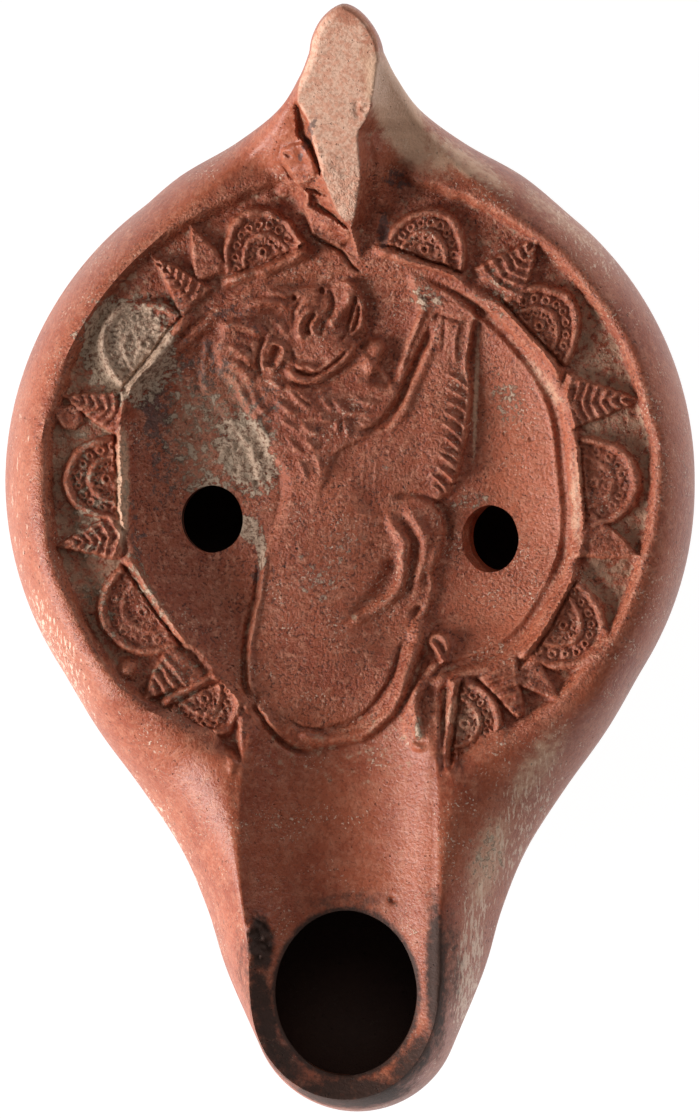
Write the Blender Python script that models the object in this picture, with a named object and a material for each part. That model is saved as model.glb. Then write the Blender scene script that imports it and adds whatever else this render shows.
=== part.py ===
"""Roman oil lamp: a mould-made hollow pottery lamp with a channelled nozzle and a solid lug handle.

The lamp stands on its foot ring at Z = 0.  +Y points to the handle, -Y to the nozzle, +X to the
right seen from above with the handle at the top.  Lengths are in millimetres and become metres
where the meshes are made.  The upper side is a height over the plan, the lower side a loft from
the foot ring to the parting line, and the oil chamber and the three openings are cut from them.
"""

import math

import bpy
import numpy as np
from mathutils import Vector
from mathutils.geometry import delaunay_2d_cdt

MM = 0.001

# Plan outline: body circle, nozzle and handle
BODY_RADIUS = 43.75
BODY_CENTRE_Y = 9.7
HANDLE_TIP_Y = 69.95
HANDLE_TIP_HALF_WIDTH = 4.65
HANDLE_TIP_LENGTH = 6.0
HANDLE_TIP_ROUNDNESS = 1.65
HANDLE_SIDE = ((6.1, 60.8), (9.0, 56.7), (14.6, 52.6), (21.8, 48.5))
HANDLE_MEETS_BODY_Y = 43.0
NOZZLE_LEAVES_BODY_Y = -14.0
NOZZLE_SIDE = ((32.2, -21.6), (26.7, -29.2), (21.8, -36.8), (18.6, -44.4), (16.3, -52.0))
NOZZLE_TIP_HALF_WIDTH = 13.1
NOZZLE_TIP_LENGTH = 13.0
NOZZLE_TIP_Y = -69.95
NOZZLE_TIP_START = 22.0
# The plan is a little crooked: y, x of its middle line.
CENTRE_LINE = ((-69.95, 0.91), (9.7, 0.0), (42.0, 0.35), (56.0, 0.0), (68.0, -0.67))
OUTLINE_POINTS = 96

# Heights
PARTING_Z = 20.0
RIM_Z = 32.0
BAND_Z = 29.8
DISCUS_Z = 26.8
CHANNEL_Z = 27.4
FOOT_TOP_Z = 2.2

# Outer edge: how far in from the outline the rim reaches its full height, how wide and how
# rounded the crest beside the channel is, and how full the edge's curve is
EDGE_BODY = 5.0
EDGE_NOZZLE = 14.0
EDGE_HANDLE = 1.1
CREST_WIDTH = 0.7
CREST_BLEND = 1.7
FULLNESS_BODY = 1.9
FULLNESS_NOZZLE = 1.3

# Band around the sunken discus
BAND_CENTRE = (0.0, 10.3)
BAND_RADIUS = 38.9
BAND_WALL = 1.3
DISCUS_CENTRE = (0.25, 9.9)
DISCUS_CORNER = 3.0
DISCUS_BORDER = 0.65
DISCUS_BORDER_HALF_WIDTH = 1.4
BOWL_REACH = 12.0
BOWL_LIP = 0.25
BOWL_EDGE_SLOPE = 3.0
CREST_OUTER_SLOPE = 0.9
SUNKEN_BLEND = 1.2
BAND_BLEND = 0.35
BLEND_CHANGES_Y = (-22.0, -32.0)

# Sides of the discus: direction of each side in degrees and its distance from the discus centre
DISCUS_SIDES = ((72.0, 28.5), (42.0, 28.4), (5.6, 28.3), (-30.4, 30.0), (-74.0, 27.6), (90.0, 28.8),
                (110.0, 28.7), (130.4, 27.2), (180.0, 28.9), (215.0, 28.5), (233.0, 31.0))

# Channel, a trough between two crests that join in an oval round the wick hole
CHANNEL_X = -1.3
CHANNEL_HALF_WIDTH = 11.9
CHANNEL_TOP_Y = -5.0
NOZZLE_CREST_CENTRE = (-0.75, -55.5)
NOZZLE_CREST_RADII = (11.1, 11.9)
WICK_HOLE = (-0.5, -54.8)
WICK_HOLE_RADII = (8.95, 10.4)

# Ridges that part the last stamps from the channel
CHANNEL_RIDGE_HALF_WIDTH = 1.3
CHANNEL_RIDGE_RISE = 0.9
CHANNEL_RIDGES = (((-12.4, -17.0), (-14.0, -22.5), (-14.8, -26.4)),
                  ((11.9, -13.6), (11.4, -20.0), (12.4, -26.4)))

# Filling holes: centre and radii
FILLING_HOLES = {"filling_hole_left": ((-17.45, 5.1), (3.9, 4.25)),
                 "filling_hole_right": ((17.7, 2.6), (3.6, 4.25))}
FILLING_HOLE_SPREAD = 0.5

# Half-disc stamps: direction and distance of the base from the discus centre, facing direction in
# degrees, half length of the base and height of the arc
HALF_DISCS = ((72.3, 28.9, 70.0, 5.5, 7.7), (39.3, 28.7, 42.0, 6.1, 7.9), (-0.8, 28.7, 5.6, 5.9, 7.3),
              (-34.6, 30.3, -30.4, 5.9, 6.9), (-67.9, 33.0, -6.2, 5.9, 7.0), (111.4, 29.2, 110.0, 5.6, 7.7),
              (145.7, 28.3, 130.4, 6.4, 7.8), (179.5, 29.2, 180.0, 5.7, 7.6), (211.5, 29.0, 215.2, 6.0, 7.4),
              (232.9, 32.5, 298.6, 4.9, 7.4))
HALF_DISC_PLATE = 0.8
HALF_DISC_BORDER = 0.45

# Leaf stamps: direction and distance of the tip from the discus centre, facing direction in
# degrees, length and half width at the base
LEAVES = ((52.6, 39.0, 50.0, 8.6, 4.1), (15.8, 37.8, 2.0, 9.5, 3.9), (-15.0, 38.2, -22.0, 8.6, 3.4),
          (-46.5, 39.0, -42.0, 7.5, 2.6), (-54.5, 38.0, -62.0, 8.2, 3.0), (121.7, 38.6, 112.0, 7.6, 2.6),
          (131.5, 38.6, 134.0, 9.0, 2.9), (163.8, 38.4, 165.0, 9.2, 3.6), (192.5, 38.6, 190.0, 8.6, 3.1),
          (226.0, 38.4, 222.0, 8.0, 3.6))
LEAF_RISE = 1.0

# Round dots in the band: centre and radius
DOTS = (((-35.4, 17.9), 1.9), ((-28.0, -14.2), 1.8), ((-15.5, -24.7), 1.2))
DOT_RISE = 0.9

# Handle: the knife-trimmed facet on the lug, its left and right edges and the tear beside it
FACET_FOOT = (0.1, 41.8, 33.6)
FACET_SLOPE = 0.575
FACET_TILT = 0.18
SPINE_SLOPE = 1.0
SPINE_DRIFT = 0.3
SPINE_DIP = 3.0
SPINE_END = (36.0, 38.6)
FACET_LEFT = ((41.8, 0.1), (44.2, -1.8), (51.6, -4.4), (55.0, -5.1), (57.6, -6.6), (62.0, -6.0), (72.0, -5.0))
FACET_RIGHT = ((41.8, 0.1), (45.0, 0.9), (52.8, 0.95), (57.0, 2.6), (63.4, 3.5), (72.0, 3.2))
TEAR_LINE = ((-6.9, 57.8), (-5.1, 52.2), (-3.8, 48.4), (-2.6, 44.4), (0.0, 41.8))
TEAR_DEPTH = 1.5
TEAR_HALF_WIDTH = 1.1

# Flanks of the lug, lower to the left and towards the tip, and the skirts that spread to the rim
FLANK_WIDTH = 2.4
FLANK_DROP = 4.4
LEFT_FLANK_SHARE = 0.55
TIP_FLANK_SHARE = 0.4
TIP_FLANK_Y = (58.0, 68.0)
SKIRT_SPREAD = 5.5
SKIRT_SPREAD_IN_BAND = 2.4
BAND_ENDS_Y = (45.0, 52.0)
UNDER_BAND = 1.0
HANDLE_BLEND = 0.8

# The hollowed right side of the lug: how fast it curves out, how far the curve counts, where it
# begins along the lug and where it gives way to the tip
FIN_HOLLOW = 2.3
FIN_START = 0.3
FIN_SHARE = 0.85
FIN_BEGINS_Y = (44.0, 47.0)
FIN_ENDS_Y = (56.0, 65.0)

# Lower side: foot ring, plain base and the rib that runs up the back to the handle
FOOT_RADIUS = 20.6
FOOT_LAND_OUTER = 20.0
FOOT_LAND_INNER = 18.0
FOOT_INNER_RADIUS = 17.2
BASE_Z = 1.6
BODY_BULGE = 2.0
HANDLE_BULGE = 1.65
RIB_HEIGHT = 2.2
RIB_HALF_WIDTH = 4.5

# Hollow inside
WALL = 3.6
CHAMBER_FLOOR_Z = FOOT_TOP_Z + WALL

# Mesh sizes: the carved side is sampled on a fine raster, close where it bends, and then thinned out
RASTER_STEP = 0.2
CARVING_TOLERANCE = 0.03
CARVING_GAPS = (0.45, 3.0)
TRIANGLES_BEFORE_CUTS = 8300
EDGE_STEPS = 5
LOWER_STEPS = 6
CHAMBER_POINTS = 48
CHAMBER_STEPS = 5
HOLE_POINTS = 28

CLAY = (0.42, 0.135, 0.075, 1.0)
CLAY_ROUGHNESS = 0.62

# Lion: outline of the raised figure, from the rump along the belly, forelegs, head and back
LION_OUTLINE = ((-12.6, -19.2), (-10.1, -21.9), (-6.3, -24.1), (-1.3, -23.9), (3.5, -21.8), (6.6, -18.4),
                (8.2, -12.0), (10.4, -5.2), (10.8, -1.4), (12.1, 2.4), (11.4, 6.6), (13.4, 9.4),
                (15.0, 16.6), (15.6, 22.0), (15.4, 27.0), (16.2, 32.0), (10.4, 36.2), (8.0, 33.4),
                (7.6, 28.4), (4.8, 21.4), (3.4, 23.0), (4.5, 26.6), (2.4, 31.6), (0.0, 35.2),
                (-7.6, 34.3), (-13.9, 33.3), (-17.0, 30.4), (-14.9, 21.4), (-11.8, 16.0), (-8.6, 9.9),
                (-11.2, 4.9), (-11.2, -1.4), (-12.6, -6.5), (-13.3, -11.6))
LION_RISE = 1.1

# Lion: rounded masses as segments with a half width and a rise
LION_MASSES = (((-3.5, 9.0), (-3.0, -16.0), 9.5, 0.8), ((11.8, 10.0), (12.6, 31.0), 3.3, 0.7),
               ((-3.2, 30.5), (-2.6, 27.0), 6.6, 1.0), ((-9.5, 21.0), (-11.0, 29.0), 5.5, 0.6),
               ((2.8, 26.6), (3.0, 24.8), 2.0, 0.9), ((11.1, -12.8), (10.7, -9.6), 1.9, 1.3),
               ((8.6, 5.0), (10.2, 4.2), 3.2, 0.8))

# Lion: ridges (positive) and grooves (negative) as half width, rise and the points of each line
LION_LINES = ((0.9, 0.5, ((-10.3, 3.4), (-11.4, -1.4), (-12.7, -6.5), (-13.3, -11.6), (-12.8, -19.0))),
              (1.2, 0.9, ((-9.0, -22.4), (-4.3, -23.7), (1.0, -22.7), (5.6, -19.6), (7.6, -15.6),
                          (9.2, -12.4), (8.6, -9.8))),
              (1.3, 1.0, ((11.7, -13.4), (9.6, -17.6), (8.2, -21.4), (9.2, -24.4))),
              (0.7, 0.8, ((13.2, -14.8), (11.4, -17.2), (10.2, -20.6), (10.6, -23.6))),
              (1.0, 0.9, ((-0.8, -9.0), (3.4, -5.3), (6.2, -1.4), (5.8, 2.4), (4.4, 5.2))),
              (1.1, 0.9, ((7.3, -8.4), (10.2, -5.0), (10.4, -1.0), (11.7, 2.8), (10.8, 6.6), (6.6, 8.0))),
              (0.8, -0.7, ((8.0, -4.6), (8.3, -0.6), (8.2, 3.6))),
              (0.8, 0.6, ((-4.2, 6.0), (-3.2, 11.6), (0.8, 14.8), (4.6, 16.8))),
              (0.7, -0.9, ((5.2, 17.8), (6.8, 21.2), (9.3, 26.4), (10.6, 31.0))),
              (1.2, 0.7, ((5.6, 20.6), (7.6, 25.0), (9.2, 31.4))),
              (0.9, 0.7, ((13.4, 9.0), (14.6, 15.6), (15.1, 22.0), (14.9, 26.6), (16.0, 31.6))),
              (1.0, 0.8, ((-8.2, 25.4), (-6.6, 23.2), (-3.6, 22.8), (-0.9, 24.4), (0.7, 27.0))),
              (0.9, -0.7, ((-6.4, 27.6), (-4.6, 25.2), (-1.8, 25.6), (0.2, 28.4), (1.2, 31.6))),
              (1.1, 0.8, ((-3.6, 28.6), (-1.6, 31.6), (-0.6, 34.4))),
              (1.0, 0.7, ((-10.6, 27.2), (-9.4, 25.4), (-8.6, 23.8))),
              (1.1, 0.6, ((-15.6, 30.4), (-12.4, 31.6), (-8.4, 31.0))),
              (1.2, 0.6, ((-14.6, 26.0), (-11.8, 27.6), (-9.6, 29.0))))


def smoothstep(start, end, value):
    """Rise from 0 at start to 1 at end with flat ends; start may be the larger of the two."""
    part = np.clip((value - start) / (end - start), 0.0, 1.0)
    return part * part * (3.0 - 2.0 * part)


def smooth_min(first, second, blend):
    """The lesser of two fields, rounded where they cross."""
    part = np.clip(0.5 + 0.5 * (second - first) / blend, 0.0, 1.0)
    return second + (first - second) * part - blend * part * (1.0 - part)


def smooth_max(first, second, blend):
    """The greater of two fields, rounded where they cross."""
    return -smooth_min(-first, -second, blend)


def bump(distance, half_width):
    """A rounded ridge profile: 1 on the line and 0 from half_width outward."""
    part = np.clip(1.0 - (distance / half_width) ** 2, 0.0, 1.0)
    return part * np.sqrt(part)


def segment_distance(x, y, start, end):
    """Distance from points to a straight segment."""
    along = np.array(end) - np.array(start)
    part = ((x - start[0]) * along[0] + (y - start[1]) * along[1]) / float(along @ along)
    part = np.clip(part, 0.0, 1.0)
    return np.hypot(x - start[0] - part * along[0], y - start[1] - part * along[1])


def line_distance(x, y, points):
    """Distance from points to a line through several points."""
    nearest = np.full(np.shape(x), 1e9)
    for start, end in zip(points[:-1], points[1:]):
        nearest = np.minimum(nearest, segment_distance(x, y, start, end))
    return nearest


def curve_through(points, steps):
    """A smooth open curve through points, with the given steps between each pair."""
    knots = [2 * np.array(points[0]) - points[1], *points, 2 * np.array(points[-1]) - points[-2]]
    knots = np.array(knots, dtype=float)
    curve = []
    for index in range(1, len(knots) - 2):
        before, start, end, after = knots[index - 1:index + 3]
        for part in np.arange(steps) / steps:
            curve.append(0.5 * (2 * start + (end - before) * part
                                + (2 * before - 5 * start + 4 * end - after) * part ** 2
                                + (3 * start - before - 3 * end + after) * part ** 3))
    curve.append(knots[-2])
    return np.array(curve)


def inside_loop(x, y, loop):
    """True for the points inside a closed loop."""
    inside = np.zeros(np.shape(x), dtype=bool)
    for start, end in zip(loop, np.roll(loop, -1, axis=0)):
        crosses = (start[1] > y) != (end[1] > y)
        rise = end[1] - start[1] if end[1] != start[1] else 1e-12
        inside ^= crosses & (x < (end[0] - start[0]) * (y - start[1]) / rise + start[0])
    return inside


def loop_distance(x, y, loop):
    """Signed distance to a closed loop, negative inside."""
    distance = line_distance(x, y, np.vstack([loop, loop[:1]]))
    return np.where(inside_loop(x, y, loop), -distance, distance)


def polar_point(direction, distance):
    """A point by its direction in degrees and its distance from the discus centre."""
    angle = math.radians(direction)
    return (DISCUS_CENTRE[0] + distance * math.cos(angle), DISCUS_CENTRE[1] + distance * math.sin(angle))


def local_frame(x, y, origin, facing):
    """Coordinates across and along a facing direction, from an origin."""
    angle = math.radians(facing)
    out = (x - origin[0]) * math.cos(angle) + (y - origin[1]) * math.sin(angle)
    across = (y - origin[1]) * math.cos(angle) - (x - origin[0]) * math.sin(angle)
    return across, out


def centre_x(y):
    """Where the middle line of the plan runs at each place along it."""
    return np.interp(y, *np.array(CENTRE_LINE).T)


def half_outline():
    """The right half of the plan from the handle tip to the nozzle tip."""
    turn = np.radians(np.linspace(90.0, 0.0, 16))
    tip_base_y = HANDLE_TIP_Y - HANDLE_TIP_LENGTH
    power = 2.0 / HANDLE_TIP_ROUNDNESS
    tip = np.column_stack([HANDLE_TIP_HALF_WIDTH * np.cos(turn) ** power,
                           tip_base_y + HANDLE_TIP_LENGTH * np.sin(turn) ** power])
    high = math.asin((HANDLE_MEETS_BODY_Y - BODY_CENTRE_Y) / BODY_RADIUS)
    low = math.asin((NOZZLE_LEAVES_BODY_Y - BODY_CENTRE_Y) / BODY_RADIUS)
    turn_body = np.linspace(high, low, 60)
    body = np.column_stack([BODY_RADIUS * np.cos(turn_body), BODY_CENTRE_Y + BODY_RADIUS * np.sin(turn_body)])
    side = curve_through([tuple(tip[-1]), *HANDLE_SIDE, tuple(body[0])], 8)
    end_y = NOZZLE_TIP_Y + NOZZLE_TIP_LENGTH
    turn_end = np.radians(np.linspace(NOZZLE_TIP_START, 90.0, 24))
    end = np.column_stack([NOZZLE_TIP_HALF_WIDTH * np.cos(turn_end),
                           end_y - NOZZLE_TIP_LENGTH * np.sin(turn_end)])
    flank = curve_through([tuple(body[-1]), *NOZZLE_SIDE, tuple(end[0])], 8)
    return np.vstack([tip, side[1:], body[1:], flank[1:], end[1:]])


def plan_outline(count):
    """The closed plan outline, counter-clockwise from the nozzle tip, with closer points at the ends."""
    right = half_outline()[::-1]
    left = (right * (-1.0, 1.0))[::-1]
    loop = np.vstack([right, left[1:-1]])
    loop[:, 0] += centre_x(loop[:, 1])
    closed = np.vstack([loop, loop[:1]])
    length = np.hypot(*np.diff(closed, axis=0).T)
    middle_y = 0.5 * (closed[:-1, 1] + closed[1:, 1])
    crowding = 1.0 + 1.4 * smoothstep(44.0, 56.0, middle_y) + 0.7 * smoothstep(-50.0, -58.0, middle_y)
    travelled = np.concatenate([[0.0], np.cumsum(length * crowding)])
    stops = np.arange(count) / count * travelled[-1]
    return np.column_stack([np.interp(stops, travelled, closed[:, 0]),
                            np.interp(stops, travelled, closed[:, 1])])


def edge_width(outline):
    """How far in from each outline point the rim reaches its full height."""
    x, y = outline.T
    width = np.maximum(EDGE_BODY, EDGE_NOZZLE * smoothstep(-8.0, -36.0, y))
    width = np.minimum(width, channel_distance(x, y) - CREST_WIDTH)
    return width + (EDGE_HANDLE - width) * smoothstep(46.0, 59.0, y)


def inward_loop(outline, width):
    """The outline moved inward by a width of its own at each point."""
    along = np.roll(outline, -1, axis=0) - np.roll(outline, 1, axis=0)
    along /= np.hypot(along[:, 0], along[:, 1])[:, None]
    inward = np.column_stack([-along[:, 1], along[:, 0]])
    return outline + inward * np.reshape(width, (-1, 1))


def facet_height(x, y):
    """Height of the trimmed facet on the handle, and of the steeper spine below its foot."""
    foot_x, foot_y, foot_z = FACET_FOOT
    slope = np.where(y > foot_y, FACET_SLOPE, SPINE_SLOPE)
    return foot_z + slope * (y - foot_y) + FACET_TILT * (x - foot_x)


def parting_height(outline):
    """Height of the mould parting line: level round the body and rising to the handle tip."""
    x, y = outline.T
    on_left = x < centre_x(y)
    high = facet_height(x, y) - np.where(on_left, 3.2, 4.4)
    reach = np.where(on_left, smoothstep(48.5, 58.5, y), smoothstep(49.5, 64.0, y))
    return PARTING_Z + (high - PARTING_Z) * reach


def half_disc_relief(x, y, base, facing, half_base, height):
    """A raised half-disc stamp: border on its arc, inner arc and boss."""
    across, out = local_frame(x, y, base, facing)
    reach = np.hypot(across / half_base, np.maximum(out, 0.0) / height)
    scale = 0.5 * (half_base + height)
    plate = smoothstep(1.0, 0.9, reach) * smoothstep(0.3, 0.9, out)
    border = bump((reach - 0.9) * scale, 0.7) * (out > 0.6)
    inner_arc = bump((reach - 0.52) * scale, 0.6) * (out > 0.6)
    boss = bump(np.hypot(across, out - 0.25 * height), 1.1)
    return plate * (HALF_DISC_PLATE + HALF_DISC_BORDER * (border + inner_arc + boss))


def leaf_relief(x, y, tip, facing, length, half_width):
    """A raised triangular leaf stamp that points outward, with a rib down its middle."""
    across, out = local_frame(x, y, tip, facing)
    part = np.clip(-out / length, 0.0, 1.0)
    edge = half_width * part ** 0.8 - np.abs(across)
    plate = smoothstep(0.0, 0.8, edge) * smoothstep(-0.1, 0.5, -out)
    plate = plate * smoothstep(length + 0.4, length - 0.8, -out)
    return plate * LEAF_RISE * (0.75 + 0.25 * bump(across, 1.0))


def band_relief(x, y):
    """All the stamps of the band, above the band's floor."""
    relief = np.zeros(np.shape(x))
    for direction, distance, facing, length, half_width in LEAVES:
        tip = polar_point(direction, distance)
        relief = np.maximum(relief, leaf_relief(x, y, tip, facing, length, half_width))
    for direction, distance, facing, half_base, height in HALF_DISCS:
        base = polar_point(direction, distance)
        relief = np.maximum(relief, half_disc_relief(x, y, base, facing, half_base, height))
    for centre, radius in DOTS:
        relief = np.maximum(relief, DOT_RISE * bump(np.hypot(x - centre[0], y - centre[1]), radius))
    return relief


def lion_relief(x, y):
    """The leaping lion, above the floor of the discus."""
    inside = -loop_distance(x, y, np.array(LION_OUTLINE))
    relief = LION_RISE * smoothstep(-0.3, 1.1, inside)
    for start, end, half_width, rise in LION_MASSES:
        relief = relief + rise * bump(segment_distance(x, y, start, end), half_width)
    for half_width, rise, points in LION_LINES:
        relief = relief + rise * bump(line_distance(x, y, curve_through(points, 4)), half_width)
    return relief


def oval_distance(x, y, centre, radii):
    """Roughly the distance outside an oval, negative inside it."""
    reach = np.hypot((x - centre[0]) / radii[0], (y - centre[1]) / radii[1])
    return (reach - 1.0) * 0.5 * (radii[0] + radii[1])


def channel_distance(x, y):
    """Signed distance to the crest round the channel and the wick hole, negative inside."""
    end = smoothstep(-38.0, -54.0, y)
    middle = CHANNEL_X + (NOZZLE_CREST_CENTRE[0] - CHANNEL_X) * end
    half_width = CHANNEL_HALF_WIDTH + (NOZZLE_CREST_RADII[0] - CHANNEL_HALF_WIDTH) * end
    strip = np.maximum(np.abs(x - middle) - half_width, y - CHANNEL_TOP_Y)
    return np.where(y > NOZZLE_CREST_CENTRE[1], strip,
                    oval_distance(x, y, NOZZLE_CREST_CENTRE, NOZZLE_CREST_RADII))


def discus_distance(x, y):
    """Signed distance to the many-sided discus, negative inside."""
    distance = np.full(np.shape(x), -1e9)
    for direction, reach in DISCUS_SIDES:
        angle = math.radians(direction)
        side = (x - DISCUS_CENTRE[0]) * math.cos(angle) + (y - DISCUS_CENTRE[1]) * math.sin(angle)
        distance = smooth_max(distance, side - reach, DISCUS_CORNER)
    return distance


def handle_height(x, y):
    """Height of the handle lug: facet, flanks and skirts, the right side hollowed like a fin's."""
    facet = facet_height(x, y)
    drift = SPINE_DRIFT * np.clip(FACET_FOOT[1] - y, 0.0, None)
    left = np.interp(y, *np.array(FACET_LEFT).T) + drift
    right = np.interp(y, *np.array(FACET_RIGHT).T) + drift
    beside = np.maximum(left - x, x - right)
    on_left = x < 0.5 * (left + right)
    drop = FLANK_DROP * (1.0 - (1.0 - TIP_FLANK_SHARE) * smoothstep(*TIP_FLANK_Y, y))
    drop = np.where(on_left, LEFT_FLANK_SHARE * drop, drop)
    flank = facet - drop * (1.0 - np.clip(1.0 - beside / FLANK_WIDTH, 0.0, 1.0) ** 2) * (beside > 0.0)
    out_of_band = smoothstep(*BAND_ENDS_Y, y)
    spread = SKIRT_SPREAD_IN_BAND + (SKIRT_SPREAD - SKIRT_SPREAD_IN_BAND) * out_of_band
    fade = np.exp(-(np.clip(beside - FLANK_WIDTH, 0.0, None) / spread) ** 2)
    ground = BAND_Z - UNDER_BAND + (RIM_Z - BAND_Z + UNDER_BAND) * out_of_band
    level = np.minimum(facet - drop, ground)
    lug = level + (flank - level) * fade
    shoulder = ground + (facet - drop - ground) * smoothstep(*FIN_ENDS_Y, y)
    fin = shoulder + (facet - shoulder) * np.exp(-np.clip(beside - FIN_START, 0.0, None) / FIN_HOLLOW)
    lug = lug + (np.minimum(fin, lug) - lug) * FIN_SHARE * smoothstep(*FIN_BEGINS_Y, y) * (1.0 - on_left)
    lug = lug - TEAR_DEPTH * bump(line_distance(x, y, TEAR_LINE), TEAR_HALF_WIDTH)
    return lug - SPINE_DIP * smoothstep(SPINE_END[1], SPINE_END[0], y)


def sunken_height(discus, channel):
    """Height of the hollow upper side: the bowl of the discus running into the channel's trough."""
    bowl_part = np.clip(1.0 + discus / BOWL_REACH, 0.0, None)
    bowl = DISCUS_Z + (BAND_Z + BOWL_LIP - DISCUS_Z) * bowl_part ** 2
    bowl = bowl + BOWL_EDGE_SLOPE * np.clip(discus, 0.0, None)
    trough_part = np.clip(1.0 + channel / CHANNEL_HALF_WIDTH, 0.0, None)
    trough = CHANNEL_Z + (RIM_Z - CHANNEL_Z) * trough_part ** 2
    trough = trough + CREST_OUTER_SLOPE * np.clip(channel, 0.0, None)
    return smooth_min(bowl, trough, SUNKEN_BLEND)


def upper_height(x, y):
    """Height of the upper side inside its rounded edge."""
    from_band_centre = np.hypot(x - BAND_CENTRE[0], y - BAND_CENTRE[1])
    rim_wall = smoothstep(BAND_RADIUS - BAND_WALL, BAND_RADIUS, from_band_centre)
    discus = discus_distance(x, y)
    channel = channel_distance(x, y)
    around = BAND_Z + (RIM_Z - BAND_Z) * rim_wall
    around = around + band_relief(x, y) * (1.0 - rim_wall) * smoothstep(-0.9, 0.1, discus)
    crest = BAND_BLEND + (CREST_BLEND - BAND_BLEND) * smoothstep(*BLEND_CHANGES_Y, y)
    carved = smooth_min(around, sunken_height(discus, channel), crest)
    border = DISCUS_BORDER * bump(discus, DISCUS_BORDER_HALF_WIDTH) * smoothstep(-1.5, 0.5, channel)
    for points in CHANNEL_RIDGES:
        ridge = bump(line_distance(x, y, curve_through(points, 4)), CHANNEL_RIDGE_HALF_WIDTH)
        border = np.maximum(border, CHANNEL_RIDGE_RISE * ridge)
    carved = carved + border + lion_relief(x, y) * smoothstep(0.2, 2.2, -np.minimum(discus, channel))
    return smooth_max(carved, handle_height(x, y), HANDLE_BLEND)


def carving_points(loop):
    """Plan points for the carved side: close along its creases and far apart where it is even."""
    shortest, longest = CARVING_GAPS
    margin = longest + 2.0 * RASTER_STEP
    low = loop.min(axis=0) - margin
    high = loop.max(axis=0) + margin
    x, y = np.meshgrid(np.arange(low[0], high[0], RASTER_STEP), np.arange(low[1], high[1], RASTER_STEP))
    rise_y, rise_x = np.gradient(upper_height(x, y), RASTER_STEP)
    bend_xy, bend_x = np.gradient(rise_x, RASTER_STEP)
    bend_y = np.gradient(rise_y, RASTER_STEP)[0]
    bend = np.sqrt(bend_x ** 2 + 2.0 * bend_xy ** 2 + bend_y ** 2)
    gap = np.clip(np.sqrt(8.0 * CARVING_TOLERANCE / np.maximum(bend, 1e-6)), shortest, longest)
    taken = loop_distance(x, y, loop) > -0.8
    chosen = []
    for place in np.argsort(gap, axis=None, kind="stable"):
        row, column = divmod(int(place), x.shape[1])
        if taken[row, column]:
            continue
        chosen.append((x[row, column], y[row, column]))
        reach = int(round(gap[row, column] / RASTER_STEP))
        span = np.arange(-reach, reach + 1)
        disc = span[:, None] ** 2 + span ** 2 <= reach * reach
        taken[row - reach:row + reach + 1, column - reach:column + reach + 1] |= disc
    return np.array(chosen)


def lower_radius(outline, part):
    """Plan radius of the lower side at a part of the way up from the foot ring to the parting line."""
    rays = outline - (0.0, BODY_CENTRE_Y)
    reach = np.hypot(rays[:, 0], rays[:, 1])
    behind = smoothstep(BODY_RADIUS + 0.3, BODY_RADIUS + 7.0, reach) * (rays[:, 1] > 0)
    bulge = BODY_BULGE + (HANDLE_BULGE - BODY_BULGE) * behind
    swell = (1.0 - (1.0 - part) ** bulge) ** (1.0 / bulge)
    radius = FOOT_RADIUS + (reach - FOOT_RADIUS) * swell
    z = FOOT_TOP_Z + part * (parting_height(outline) - FOOT_TOP_Z)
    level = np.clip((z - FOOT_TOP_Z) / (PARTING_Z - FOOT_TOP_Z), 0.0, 1.0)
    body = FOOT_RADIUS + (BODY_RADIUS - FOOT_RADIUS) * np.sqrt(1.0 - (1.0 - level) ** 2)
    aside = np.abs(rays[:, 0] / reach) * body
    rib = RIB_HEIGHT * bump(aside, RIB_HALF_WIDTH) * (rays[:, 1] > 0)
    return np.maximum(radius, (body + rib) * (rays[:, 1] > 0)) if part < 1.0 else reach


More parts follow.
